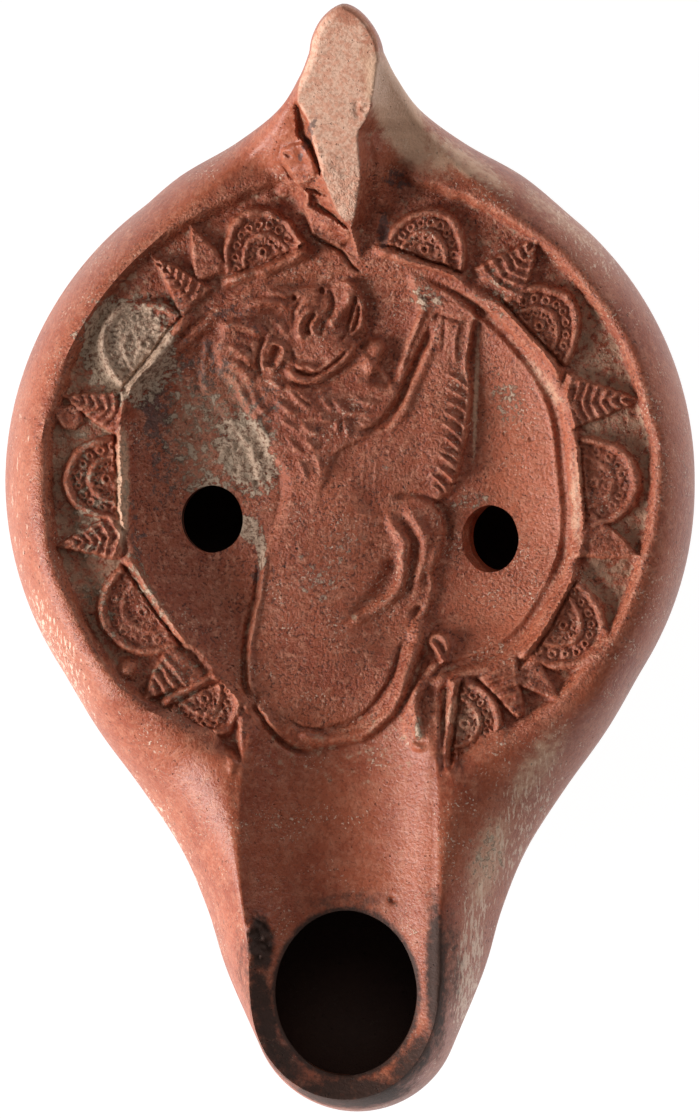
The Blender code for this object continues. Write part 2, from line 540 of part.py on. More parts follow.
def shell_mesh(outline):
    """Points and faces of the outer skin, and which of its points lie on the carved side."""
    count = len(outline)
    parting = parting_height(outline)
    inner = inward_loop(outline, edge_width(outline))
    points = []
    faces = []
    rays = outline - (0.0, BODY_CENTRE_Y)
    rays /= np.hypot(rays[:, 0], rays[:, 1])[:, None]

    def ring(radius, z):
        place = rays * np.reshape(radius, (-1, 1)) + (0.0, BODY_CENTRE_Y)
        points.append(np.column_stack([place, np.broadcast_to(z, (count,))]))

    ring(FOOT_INNER_RADIUS, BASE_Z)
    ring(FOOT_LAND_INNER, 0.0)
    ring(FOOT_LAND_OUTER, 0.0)
    for step in range(LOWER_STEPS + 1):
        turn = 0.5 * math.pi * step / LOWER_STEPS
        part = 1.0 - math.cos(turn)
        ring(lower_radius(outline, min(part, 1.0)), FOOT_TOP_Z + part * (parting - FOOT_TOP_Z))
    on_nozzle = smoothstep(-22.0, -46.0, outline[:, 1])
    power = 2.0 / (FULLNESS_BODY + (FULLNESS_NOZZLE - FULLNESS_BODY) * on_nozzle)
    for step in range(1, EDGE_STEPS + 1):
        turn = 0.5 * math.pi * step / EDGE_STEPS
        inward = 1.0 - max(math.cos(turn), 0.0) ** power
        place = outline + (inner - outline) * inward[:, None]
        target = upper_height(*place.T)
        points.append(np.column_stack([place, parting + (target - parting) * math.sin(turn) ** power]))
    rings = len(points)
    for level in range(rings - 1):
        for index in range(count):
            beside = (index + 1) % count
            faces.append((level * count + index, level * count + beside,
                          (level + 1) * count + beside, (level + 1) * count + index))
    faces.append(tuple(range(count - 1, -1, -1)))

    crowd = carving_points(inner)
    plan = [Vector(point) for point in np.vstack([inner, crowd])]
    rim = [(index, (index + 1) % count) for index in range(count)]
    _, _, triangles, origins, _, _ = delaunay_2d_cdt(plan, rim, [], 1, 1e-5)
    names = [(rings - 1) * count + origin[0] for origin in origins]
    top = np.column_stack([crowd, upper_height(*crowd.T)])
    points.append(top)
    faces.extend(tuple(names[corner] for corner in triangle) for triangle in triangles)
    carved = list(range(rings * count, rings * count + len(crowd)))
    return np.vstack(points), faces, carved


def add_object(name, points, faces, material):
    """Make one mesh object from points in millimetres."""
    mesh = bpy.data.meshes.new(name)
    mesh.from_pydata([tuple(point) for point in np.asarray(points) * MM], [], faces)
    mesh.validate()
    obj = bpy.data.objects.new(name, mesh)
    bpy.context.collection.objects.link(obj)
    if material:
        mesh.materials.append(material)
    return obj


def chamber_mesh():
    """The hollow for the oil, one wall in from the body and the nozzle, without the handle."""
    count = CHAMBER_POINTS
    outline = plan_outline(4 * count)
    rays = outline - (0.0, BODY_CENTRE_Y)
    angles = np.unwrap(np.arctan2(rays[:, 1], rays[:, 0]))
    reach = np.hypot(rays[:, 0], rays[:, 1])
    reach = np.where(rays[:, 1] > 0, np.minimum(reach, BODY_RADIUS), reach) - 1.15 * WALL
    turns = angles[0] + 2.0 * math.pi * np.arange(count) / count
    radii = np.interp(turns, np.append(angles, angles[0] + 2 * math.pi), np.append(reach, reach[0]))
    heading = np.column_stack([np.cos(turns), np.sin(turns)])
    points = [(0.0, BODY_CENTRE_Y, CHAMBER_FLOOR_Z)]
    for step in range(CHAMBER_STEPS + 1):
        turn = 0.5 * math.pi * step / CHAMBER_STEPS
        z = CHAMBER_FLOOR_Z + (PARTING_Z - CHAMBER_FLOOR_Z) * (1.0 - math.cos(turn))
        reached = FOOT_RADIUS + (radii - FOOT_RADIUS) * math.sin(turn)
        place = heading * reached[:, None] + (0.0, BODY_CENTRE_Y)
        points.extend((px, py, z) for px, py in place)
    for step in range(CHAMBER_STEPS - 1, 0, -1):
        part = math.sin(0.5 * math.pi * step / CHAMBER_STEPS)
        place = heading * (radii * part)[:, None] + (0.0, BODY_CENTRE_Y)
        roof = chamber_roof(*place.T)
        z = PARTING_Z + (roof - PARTING_Z) * math.sqrt(1.0 - part ** 6)
        points.extend((px, py, pz) for (px, py), pz in zip(place, z))
    points.append((0.0, BODY_CENTRE_Y, DISCUS_Z - WALL))
    faces = []
    levels = 2 * CHAMBER_STEPS
    for index in range(count):
        beside = (index + 1) % count
        faces.append((0, 1 + beside, 1 + index))
        for level in range(levels - 1):
            low = 1 + level * count
            high = low + count
            faces.append((low + index, low + beside, high + beside, high + index))
        last = 1 + (levels - 1) * count
        faces.append((last + index, last + beside, last + count))
    return np.array(points), faces


def chamber_roof(x, y):
    """Ceiling of the oil chamber: one wall under the discus and the channel."""
    from_band_centre = np.hypot(x - BAND_CENTRE[0], y - BAND_CENTRE[1])
    under_band = smoothstep(26.0, 34.0, from_band_centre)
    return DISCUS_Z - WALL + (BAND_Z - DISCUS_Z - 0.5) * under_band * smoothstep(-26.0, -16.0, y)


def hole_mesh(centre, radii, spread):
    """An oval plug for cutting a hole from the oil chamber up, wider at the top by spread."""
    count = HOLE_POINTS
    turns = 2.0 * math.pi * np.arange(count) / count
    circle = np.column_stack([np.cos(turns), np.sin(turns)])
    points = []
    for z, extra in ((PARTING_Z - WALL, 0.0), (RIM_Z + WALL, spread)):
        place = circle * (radii[0] + extra, radii[1] + extra) + centre
        points.extend((px, py, z) for px, py in place)
    faces = [tuple(range(count - 1, -1, -1)), tuple(range(count, 2 * count))]
    for index in range(count):
        beside = (index + 1) % count
        faces.append((index, beside, count + beside, count + index))
    return np.array(points), faces


def cut(target, cutter):
    """Take a cutter's shape out of a target, and keep the cutter as a hidden wire guide."""
    cutter.hide_render = True
    cutter.display_type = "WIRE"
    modifier = target.modifiers.new(cutter.name, "BOOLEAN")
    modifier.operation = "DIFFERENCE"
    modifier.object = cutter


def clay_material():
    """Fired red clay with a thin matt slip."""
    material = bpy.data.materials.new("red_slip_clay")
    material.use_nodes = True
    shader = material.node_tree.nodes["Principled BSDF"]
    shader.inputs["Base Color"].default_value = CLAY
    shader.inputs["Roughness"].default_value = CLAY_ROUGHNESS
    shader.inputs["Metallic"].default_value = 0.0
    return material


def build_lamp():
    """Build the lamp: the outer skin less its oil chamber, wick hole and filling holes."""
    points, faces, carved = shell_mesh(plan_outline(OUTLINE_POINTS))
    lamp = add_object("lamp", points, faces, clay_material())
    lamp.data.shade_smooth()
    lamp.data.set_sharp_from_angle(angle=math.radians(35.0))
    group = lamp.vertex_groups.new(name="carved")
    group.add(carved, 1.0, "REPLACE")
    thin_out = lamp.modifiers.new("thin_out", "DECIMATE")
    thin_out.ratio = TRIANGLES_BEFORE_CUTS / sum(len(face.vertices) - 2 for face in lamp.data.polygons)
    thin_out.vertex_group = group.name
    cut(lamp, add_object("oil_chamber", *chamber_mesh(), None))
    cut(lamp, add_object("wick_hole", *hole_mesh(WICK_HOLE, WICK_HOLE_RADII, 0.0), None))
    for name, (centre, radii) in FILLING_HOLES.items():
        cut(lamp, add_object(name, *hole_mesh(centre, radii, FILLING_HOLE_SPREAD), None))


def main():
    for obj in list(bpy.data.objects):
        bpy.data.objects.remove(obj, do_unlink=True)
    build_lamp()


main()
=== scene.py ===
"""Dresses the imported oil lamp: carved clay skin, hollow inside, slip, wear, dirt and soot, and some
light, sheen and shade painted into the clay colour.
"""

import math

import bpy
import numpy as np
from mathutils import Matrix, Vector
from mathutils.geometry import delaunay_2d_cdt

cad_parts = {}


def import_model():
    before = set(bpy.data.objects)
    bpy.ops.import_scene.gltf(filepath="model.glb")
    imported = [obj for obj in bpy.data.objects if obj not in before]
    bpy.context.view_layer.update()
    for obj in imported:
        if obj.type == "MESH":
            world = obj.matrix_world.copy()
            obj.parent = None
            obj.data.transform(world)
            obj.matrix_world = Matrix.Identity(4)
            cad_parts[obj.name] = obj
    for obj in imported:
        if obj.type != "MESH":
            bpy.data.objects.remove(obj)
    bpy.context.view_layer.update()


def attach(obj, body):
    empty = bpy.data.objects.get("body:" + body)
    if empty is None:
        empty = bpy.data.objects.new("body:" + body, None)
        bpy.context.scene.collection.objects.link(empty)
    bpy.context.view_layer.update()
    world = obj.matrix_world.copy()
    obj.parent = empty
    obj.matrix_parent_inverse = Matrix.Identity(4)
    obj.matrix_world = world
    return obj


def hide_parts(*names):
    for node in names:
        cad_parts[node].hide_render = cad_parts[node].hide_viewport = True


MM = 0.001

# ---- Sizes in millimetres: +Y points to the handle, +X to the right seen from above ----------
BODY_RADIUS = 43.68
BODY_CENTRE_Y = 9.7
HANDLE_TIP_Y = 69.93
HANDLE_TIP_HALF_WIDTH = 4.65
HANDLE_TIP_LENGTH = 6.0
HANDLE_TIP_ROUNDNESS = 1.65
HANDLE_SIDE = ((6.1, 60.8), (9.0, 56.7), (14.6, 52.6), (21.8, 48.5))
HANDLE_MEETS_BODY_Y = 43.0
NOZZLE_LEAVES_BODY_Y = -14.0
NOZZLE_SIDE = ((32.2, -21.6), (26.7, -29.2), (21.8, -36.8), (18.6, -44.4), (16.3, -52.0))
NOZZLE_TIP_HALF_WIDTH = 13.1
NOZZLE_TIP_LENGTH = 13.0
NOZZLE_TIP_Y = -69.94
NOZZLE_TIP_START = 22.0
# The plan is a little crooked: y, x of its middle line.
CENTRE_LINE = ((-69.95, 0.91), (9.7, 0.0), (42.0, 0.35), (56.0, 0.0), (68.0, -0.67))
OUTLINE_POINTS = 360

PARTING_Z = 20.0
# How far below the facet the parting line runs at the handle tip, on the left and on the right.
PARTING_BELOW_FACET = (3.2, 4.4)
RIM_Z = 32.0
BAND_Z = 29.8
DISCUS_Z = 26.8
CHANNEL_Z = 27.4
FOOT_TOP_Z = 2.2

EDGE_BODY = 5.0
EDGE_NOZZLE = 14.0
EDGE_HANDLE = 1.1
CREST_WIDTH = 0.7
CREST_BLEND = 1.7
FULLNESS_BODY = 1.9
FULLNESS_NOZZLE = 1.3

BAND_CENTRE = (0.0, 10.3)
BAND_RADIUS = 38.9
BAND_WALL = 1.6
DISCUS_CENTRE = (0.25, 9.9)
BOWL_REACH = 12.0
BOWL_LIP = 0.25
BOWL_EDGE_SLOPE = 3.0
CREST_OUTER_SLOPE = 0.9
SUNKEN_BLEND = 1.2
BAND_BLEND = 0.35
BLEND_CHANGES_Y = (-22.0, -32.0)
DISCUS_CORNER = 3.6
# The discus border: place, half width and rise of its bead, and of the groove and fine line inside it.
DISCUS_BEAD = (-0.1, 1.15, 0.8)
DISCUS_GROOVES = ((-1.55, 0.8, -0.6), (-2.5, 0.32, 0.16))
BEAD_HEIGHT = 1.55
# Sides of the many-sided discus: direction in degrees, distance from the discus centre.
DISCUS_SIDES = (
    (72.0, 28.5), (42.0, 28.4), (5.6, 28.3), (-30.4, 30.0), (-74.0, 27.6), (90.0, 28.8), (110.0, 28.7),
    (130.4, 27.2), (180.0, 28.9), (215.0, 28.5), (233.0, 31.0))

CHANNEL_X = -1.3
CHANNEL_HALF_WIDTH = 11.9
CHANNEL_TOP_Y = -5.0
NOZZLE_CREST_CENTRE = (-0.75, -55.5)
NOZZLE_CREST_RADII = (11.1, 11.9)
# The channel's walls run on beside the last stamps: how high they rise there, and between which places.
CHANNEL_WALL_RISE = 2.1
CHANNEL_WALL_Y = (-15.0, -26.0)
# Ridges on those walls: half width, rise, points.
CHANNEL_RIDGES = (
    (0.7, 0.3, ((-12.4, -17.0), (-13.4, -19.5), (-14.2, -22.5), (-14.8, -25.6), (-15.2, -27.6))),
    (0.7, 0.3, ((11.9, -13.6), (11.2, -17.0), (11.2, -21.0), (11.9, -24.6), (12.8, -27.6))))
WICK_HOLE = (-0.5, -54.8)
WICK_HOLE_RADII = (8.95, 10.4)
LEFT_HOLE = (-17.45, 5.1)
LEFT_HOLE_RADII = (3.9, 4.25)
RIGHT_HOLE = (17.7, 2.6)
RIGHT_HOLE_RADII = (3.6, 4.25)

# Half-disc stamps: direction and distance of the base, facing, half base, height.
HALF_DISCS = (
    (72.3, 28.9, 70.0, 5.5, 7.7), (39.3, 28.7, 42.0, 6.1, 7.9), (-0.8, 28.7, 5.6, 6.1, 8.2),
    (-34.6, 30.3, -30.4, 6.3, 8.2), (-67.9, 33.0, -6.2, 5.9, 7.0), (111.4, 29.2, 110.0, 5.6, 7.7),
    (147.0, 29.4, 142.0, 6.3, 8.1), (179.5, 29.2, 180.0, 5.7, 7.6), (211.5, 29.0, 215.2, 6.6, 8.0),
    (232.9, 32.5, 298.6, 4.9, 7.4))
HALF_DISC_RISE = 0.95
WORN_HALF_DISCS = (2, 6, 8)
# Ring pearls, and the rosette's heart and petals: radius, half width, rise, rise of the middle.
PEARLS = 10
PEARL = (0.4, 0.3, 0.34, -0.12)
ROSETTE_HEART = (0.5, 0.34, 0.46, -0.1)
PETALS = 6
PETAL = (0.33, 0.27, 0.28, -0.08)
# Leaf stamps: direction and distance of the tip, facing, length, half width, kind of veins.
LEAVES = (
    (52.6, 39.0, 50.0, 8.6, 4.1, "veined"), (15.8, 37.8, 2.0, 9.5, 3.9, "veined"),
    (-15.0, 38.2, -22.0, 8.6, 3.4, "plain"), (-46.5, 39.0, -42.0, 7.5, 2.6, "plain"),
    (-54.5, 38.0, -62.0, 8.2, 3.0, "ladder"), (121.7, 38.6, 112.0, 7.6, 2.6, "plain"),
    (131.5, 38.6, 134.0, 9.0, 2.9, "veined"), (163.8, 38.4, 165.0, 9.2, 3.6, "veined"),
    (192.5, 38.6, 190.0, 8.6, 3.1, "veined"), (226.0, 38.4, 222.0, 8.0, 3.6, "ladder"))
LEAF_RISE = 1.05
FIRST_VEIN = 2.0
VEIN_GAP = 1.15
DOTS = ((-35.4, 17.9, 1.9, 0.55), (-28.3, -13.8, 2.1, -0.3), (-15.5, -24.7, 1.2, 0.0))

FACET_FOOT = (0.1, 41.8, 33.55)
FACET_SLOPE = 0.575
FACET_TILT = 0.18
SPINE_SLOPE = 1.0
SPINE_DRIFT = 0.3
# Edges of the trimmed facet: y, x.
FACET_LEFT = (
    (41.8, 0.1), (43.0, -1.0), (44.2, -1.8), (46.4, -2.6), (48.2, -3.4), (51.6, -4.4), (53.4, -4.9),
    (55.0, -5.1), (57.6, -6.6), (59.8, -6.5), (62.0, -6.0), (66.0, -5.6), (72.0, -5.0))
FACET_RIGHT = (
    (41.8, 0.1), (43.2, 0.6), (45.0, 0.9), (48.2, 1.25), (50.0, 1.2), (52.8, 0.95), (54.0, 1.1),
    (55.4, 2.0), (57.0, 2.6), (59.4, 3.0), (63.4, 3.5), (66.0, 3.4), (72.0, 3.2))
FLANK_WIDTH = 2.4
FLANK_DROP = 4.4
SKIRT_SPREAD = 5.5
SKIRT_SPREAD_IN_BAND = 2.4
# The hollowed right side of the lug: reach of the curve, share, and where it gives way to the tip.
FIN_HOLLOW = 2.3
FIN_SHARE = 0.85
FIN_END = (56.0, 65.0)
# Flaps of torn clay beside the facet, and the gap where clay is gone: rise, outline.
TORN_FLAPS = (
    (-1.9, ((-7.1, 57.8), (-6.2, 57.2), (-5.3, 55.2), (-4.7, 53.4), (-4.2, 51.6), (-3.4, 49.0),
     (-3.8, 48.0), (-4.6, 50.2), (-5.5, 52.2), (-6.7, 53.4), (-6.9, 55.4))),
    (0.9, ((-8.9, 51.7), (-7.2, 52.5), (-6.0, 52.6), (-5.1, 51.4), (-4.5, 50.0), (-4.2, 48.4),
     (-5.2, 47.3), (-6.7, 47.2), (-7.6, 48.6), (-8.6, 49.8))),
    (0.6, ((-9.0, 47.4), (-7.6, 47.8), (-6.9, 46.8), (-7.2, 45.8), (-8.4, 45.6), (-9.4, 46.4))),
    (0.9, ((-5.7, 46.8), (-5.0, 46.4), (-4.9, 44.6), (-3.9, 44.2), (-2.2, 43.2), (-0.2, 41.7),
     (0.2, 40.6), (-1.3, 39.3), (-3.0, 40.0), (-4.8, 41.0), (-5.4, 42.6), (-5.9, 44.6))),
    (0.6, ((-6.8, 40.6), (-5.6, 40.7), (-5.1, 39.8), (-5.8, 38.4), (-7.0, 38.2), (-7.3, 39.4))))
# Tears and creases in the clay there: half width, depth, points.
TEARS = (
    (0.3, 0.45, ((-9.0, 51.7), (-8.1, 51.2), (-7.3, 50.7))),
    (0.35, 0.5, ((-8.8, 50.0), (-8.2, 49.6), (-7.8, 48.8), (-7.0, 47.7))),
    (0.3, 0.75, ((-5.9, 46.9), (-4.8, 46.7), (-3.9, 46.3), (-2.6, 45.8))),
    (0.3, 0.85, ((-4.5, 45.1), (-3.2, 44.2), (-1.9, 43.4), (-1.2, 42.6), (0.0, 41.8))),
    (0.3, 0.6, ((-4.9, 40.9), (-3.4, 40.1), (-2.0, 39.5), (-1.0, 38.8), (-0.2, 37.7), (0.6, 36.8),
     (1.6, 36.3))),
    (0.35, 0.4, ((-4.9, 45.8), (-3.8, 45.2), (-2.9, 44.6))),
    (0.3, 0.4, ((-8.3, 47.8), (-7.6, 46.6), (-7.9, 45.4))),
    (0.5, 0.25, ((0.9, 57.8), (0.8, 56.6), (1.2, 55.4))),
    (0.3, 0.3, ((2.4, 57.4), (1.8, 56.6), (1.2, 56.8))))
# Crumbling of the torn clay: centre, radii.
CRUMBLED = ((-5.6, 46.0), (5.5, 8.5))

# Lumpy crusts: centre, radii, number of lumps, highest lump, seed.
CRUSTS = (
    ((-11.3, -47.8), (1.5, 2.9), 26, 0.5, 61),
    ((-13.5, 13.0), (4.4, 5.6), 90, 0.22, 62),
    ((-18.5, 22.5), (5.0, 5.0), 50, 0.18, 63),
    ((-29.0, 11.5), (1.0, 7.5), 36, 0.2, 64),
    ((-28.0, 22.0), (3.6, 5.0), 34, 0.2, 65),
    ((8.5, -21.5), (1.0, 2.6), 10, 0.3, 66))
# Pits: x, y, radius, depth.
PITS = (
    (6.3, 48.4, 2.4, 0.9), (4.3, 43.6, 1.3, 0.7), (4.2, 41.0, 1.1, 0.6), (5.4, -43.0, 0.65, 0.5),
    (0.5, -7.3, 0.35, 0.2), (-5.5, -33.0, 0.3, 0.25), (3.0, 2.0, 0.3, 0.2), (-7.6, -29.0, 0.25, 0.2),
    (-20.0, 15.6, 0.4, 0.3), (22.8, 15.2, 0.35, 0.3), (-35.0, -4.0, 0.3, 0.2))

# The lion's plan outline, from its hind heel up its back, round the head and down its belly.
LION_OUTLINE = (
    (-13.0, -17.4), (-12.3, -18.5), (-11.0, -19.9), (-9.2, -22.2), (-8.0, -23.4), (-6.7, -24.0),
    (-5.0, -24.2), (-3.1, -24.0), (-1.1, -23.5), (1.7, -23.2), (2.8, -22.5), (4.4, -21.2),
    (5.6, -20.1), (6.4, -18.4), (7.1, -16.2), (7.8, -14.3), (8.5, -12.9), (9.4, -10.8), (9.4, -8.2),
    (10.4, -6.2), (11.0, -4.3), (10.8, -1.8), (11.4, 0.0), (12.1, 1.9), (12.2, 3.6), (11.8, 5.6),
    (10.9, 6.9), (12.9, 8.3), (13.8, 10.6), (14.4, 12.4), (14.9, 15.9), (15.3, 18.0), (15.6, 20.4),
    (15.5, 22.4), (15.2, 24.8), (15.4, 26.8), (15.8, 28.9), (16.3, 30.6), (15.9, 32.1), (12.4, 34.5),
    (8.8, 36.2), (7.2, 37.2), (7.6, 33.6), (8.6, 32.0), (7.8, 29.4), (7.1, 27.7), (6.3, 25.4),
    (5.6, 23.3), (4.4, 22.2), (2.9, 22.6), (4.0, 25.2), (4.6, 26.8), (4.0, 28.0), (2.6, 28.2),
    (2.1, 30.0), (2.1, 32.2), (1.5, 33.4), (0.8, 34.8), (-0.2, 35.5), (-1.4, 35.4), (-2.4, 34.6),
    (-4.4, 34.9), (-7.4, 34.6), (-11.0, 35.4), (-14.6, 34.6), (-16.8, 33.2), (-17.4, 30.6),
    (-16.6, 28.4), (-17.4, 26.4), (-16.8, 23.6), (-14.6, 21.6), (-13.2, 18.4), (-11.0, 14.6),
    (-9.0, 11.2), (-8.8, 8.0), (-9.9, 4.4), (-10.9, 1.8), (-11.5, -0.6), (-12.0, -4.6), (-12.9, -9.5),
    (-13.2, -12.3), (-13.2, -15.4))

# Rounded masses of the lion: start, end, half width, rise.
LION_MASSES = (
    ((-5.0, 4.0), (-4.2, -14.0), 9.4, 0.95), ((-1.0, -14.0), (0.0, -15.0), 8.5, 0.35), ((0.5, 9.0),
    (8.5, 16.0), 7.0, 0.55), ((11.8, 12.0), (12.4, 29.0), 3.4, 0.45), ((8.4, 27.0), (9.0, 31.0),
    2.0, 0.3), ((9.4, 5.2), (9.2, 4.6), 3.4, 0.45), ((8.4, -9.4), (8.8, -8.8), 1.5, 0.6),
    ((-4.8, 29.0), (-4.2, 28.0), 5.6, 0.75), ((-7.5, 20.0), (-5.5, 15.0), 6.5, 0.55), ((-13.5, 28.5),
    (-13.0, 27.0), 5.0, 0.5), ((3.4, 26.6), (2.8, 24.6), 1.5, 0.7), ((-2.6, 26.2), (-1.6, 27.0),
    2.6, 0.25))

# Carved lines: half width, rise (a groove where it is negative), fade towards the ends, points.
BACK_LINES = (
    (0.5, -0.55, 0.1, ((-11.5, 0.0), (-11.8, -4.0), (-12.4, -6.2), (-13.0, -9.5), (-13.4, -12.3),
     (-13.4, -15.1), (-13.1, -17.9), (-12.3, -18.6), (-11.2, -19.9), (-10.4, -21.1), (-9.3, -22.5),
     (-8.0, -23.7), (-6.4, -24.4), (-4.6, -24.6))),
    (0.6, 0.4, 0.1, ((-10.6, 2.0), (-11.1, -2.0), (-11.7, -5.9), (-12.6, -10.0), (-12.8, -12.3),
     (-12.8, -15.7), (-12.4, -17.9), (-11.3, -19.1), (-10.3, -20.3), (-9.3, -21.9), (-8.0, -23.1))),
    (0.8, -0.35, 0.3, ((-10.0, 1.9), (-8.8, 6.0), (-8.2, 9.6), (-9.2, 12.4))))
TAIL_LINES = (
    (0.95, 0.75, 0.05, ((-6.5, -21.8), (-4.0, -22.7), (-1.5, -22.7), (1.2, -22.2), (3.4, -20.9),
     (5.2, -19.1), (6.4, -16.9), (7.1, -14.5), (7.7, -12.4), (8.3, -10.3))),
    (0.5, -0.65, 0.15, ((6.9, -10.1), (6.2, -11.5), (5.8, -12.9), (5.3, -14.6), (4.4, -16.4),
     (3.2, -18.2), (1.6, -19.8), (-0.6, -20.9), (-3.2, -21.3))),
    (0.4, -0.4, 0.2, ((-7.6, -20.2), (-6.8, -20.9), (-5.6, -21.3), (-3.2, -21.5))),
    (0.45, -0.5, 0.15, ((6.9, -18.6), (7.6, -16.4), (8.3, -14.4), (9.0, -12.8), (9.6, -11.6))),
    (0.55, -0.4, 0.2, ((7.6, -7.4), (8.2, -6.6), (9.0, -5.8))))
TUFT = (
    (9.5, -10.2), (10.2, -9.1), (11.5, -8.8), (12.7, -9.5), (13.0, -10.8), (12.5, -12.4),
    (11.7, -13.9), (10.7, -12.2))
TUFT_LINES = (
    (0.45, 0.4, 0.1, ((9.8, -10.4), (10.9, -11.6), (11.7, -13.3))),
    (0.4, -0.35, 0.1, ((10.4, -9.8), (11.4, -10.9), (12.0, -12.4))),
    (0.35, 0.3, 0.1, ((11.2, -9.3), (12.1, -10.3), (12.4, -11.6))))
HIND_FOOT_LINES = (
    (0.95, 0.95, 0.06, ((11.3, -12.7), (10.0, -14.6), (8.7, -16.8), (8.1, -19.0), (8.3, -21.2),
     (8.8, -22.8))),
    (0.6, 0.45, 0.08, ((8.6, -15.9), (7.3, -18.3), (7.0, -20.1), (7.2, -21.8), (7.9, -23.2),
     (9.1, -23.9), (10.0, -23.3), (10.1, -22.2))),
    (0.6, 0.35, 0.2, ((11.9, -13.9), (10.8, -15.7), (10.1, -17.3), (10.0, -19.0), (10.4, -20.4))),
    (0.35, -0.55, 0.1, ((11.2, -14.0), (9.9, -15.9), (9.1, -17.6), (8.9, -19.6), (9.2, -21.6))))
HIND_LEG_LINES = (
    (0.95, 0.8, 0.1, ((0.0, -8.4), (1.7, -7.1), (3.3, -5.9), (5.0, -4.9), (6.2, -3.5), (6.7, -1.8),
     (6.8, 0.6), (6.9, 1.9), (6.3, 3.0), (5.4, 4.4), (4.9, 5.8))),
    (1.3, -0.7, 0.15, ((5.4, 0.6), (5.3, -1.2), (4.2, -3.5), (2.6, -5.5), (0.4, -7.7))),
    (1.15, 0.5, 0.15, ((7.1, 6.9), (7.8, 5.6), (8.8, 3.9), (9.5, 2.8), (9.7, 1.1), (9.3, -0.6),
     (8.6, -2.2), (8.1, -3.9))),
    (0.9, -0.45, 0.15, ((7.0, 5.4), (7.9, 3.8), (8.3, 1.8), (8.1, -0.6), (7.5, -2.8), (7.1, -5.2))),
    (0.9, 0.3, 0.25, ((10.8, 1.9), (10.7, 0.3), (10.2, -1.3), (10.3, -3.2))),
    (0.6, -0.22, 0.25, ((10.3, 3.0), (10.2, 0.8), (9.7, -1.4), (9.5, -4.4))),
    (0.6, -0.5, 0.12, ((5.4, 7.7), (7.1, 8.2), (9.0, 8.2), (10.8, 7.3), (12.1, 5.8), (12.6, 3.6),
     (12.4, 1.8))),
    (0.45, -0.35, 0.2, ((7.9, -7.1), (8.4, -6.4), (8.9, -5.9))))
BELLY_HAIR = (
    ((0.5, 3.4), (4.2, 4.0)), ((1.0, 4.2), (4.3, 4.2)), ((0.6, 5.6), (4.0, 5.6)), ((2.2, 2.3),
    (4.6, 3.4)), ((2.0, 0.4), (5.2, 1.6)), ((1.4, -0.6), (5.0, 0.4)), ((1.0, -1.6), (4.8, -0.6)),
    ((2.0, -2.4), (4.6, -1.4)), ((0.3, 2.4), (1.9, 2.7)), ((0.2, 6.6), (2.6, 6.9)))
BELLY_COMBING = (
    ((0.2, 7.4), (0.3, 12.6)), ((0.8, 7.2), (1.0, 13.2)), ((1.5, 7.8), (1.8, 13.8)), ((2.2, 8.4),
    (2.6, 13.6)), ((3.0, 8.2), (3.3, 12.8)))
FORELEG_LINES = (
    (0.7, -0.95, 0.1, ((1.2, 15.9), (2.9, 16.5), (4.3, 17.4), (5.3, 18.9), (6.3, 20.4), (7.2, 22.4),
     (8.2, 24.5), (8.8, 25.9), (9.7, 27.7), (10.3, 29.5))),
    (0.8, 0.4, 0.2, ((4.8, 16.4), (6.4, 18.2), (7.6, 20.6), (8.8, 23.2), (9.8, 25.8), (10.8, 28.4))),
    (0.55, 0.45, 0.12, ((6.2, 24.0), (6.9, 26.0), (7.7, 28.0), (8.6, 30.0), (9.4, 31.6))),
    (0.4, -0.4, 0.1, ((10.6, 30.4), (11.3, 31.0), (12.4, 30.6), (14.1, 30.1), (15.2, 30.4))),
    (0.3, -0.25, 0.2, ((11.8, 31.0), (11.9, 28.6), (11.7, 26.0))),
    (0.35, -0.35, 0.2, ((8.8, 33.6), (10.0, 32.9), (11.0, 33.4), (12.4, 32.8), (13.6, 32.6))),
    (0.55, 0.4, 0.08, ((14.3, 13.6), (14.5, 16.0), (14.8, 18.4), (15.2, 20.6), (15.1, 22.6),
     (14.7, 24.9), (15.0, 26.9), (15.3, 28.9), (15.9, 30.2))),
    (0.35, 0.3, 0.2, ((13.4, 24.6), (13.2, 27.4), (13.8, 29.8))))
FRINGE = (
    ((12.0, 23.6), (15.0, 21.5)), ((12.0, 21.7), (15.0, 20.1)), ((12.2, 20.1), (14.9, 18.4)),
    ((11.8, 18.9), (14.7, 16.4)), ((11.6, 17.4), (14.4, 14.8)), ((11.6, 15.9), (14.1, 13.3)),
    ((11.6, 14.0), (13.8, 12.3)), ((10.9, 13.6), (13.8, 10.8)), ((10.9, 11.8), (13.5, 9.5)),
    ((11.8, 11.1), (13.2, 9.5)), ((10.1, 10.9), (12.35, 8.6)), ((10.3, 9.3), (11.5, 8.3)))
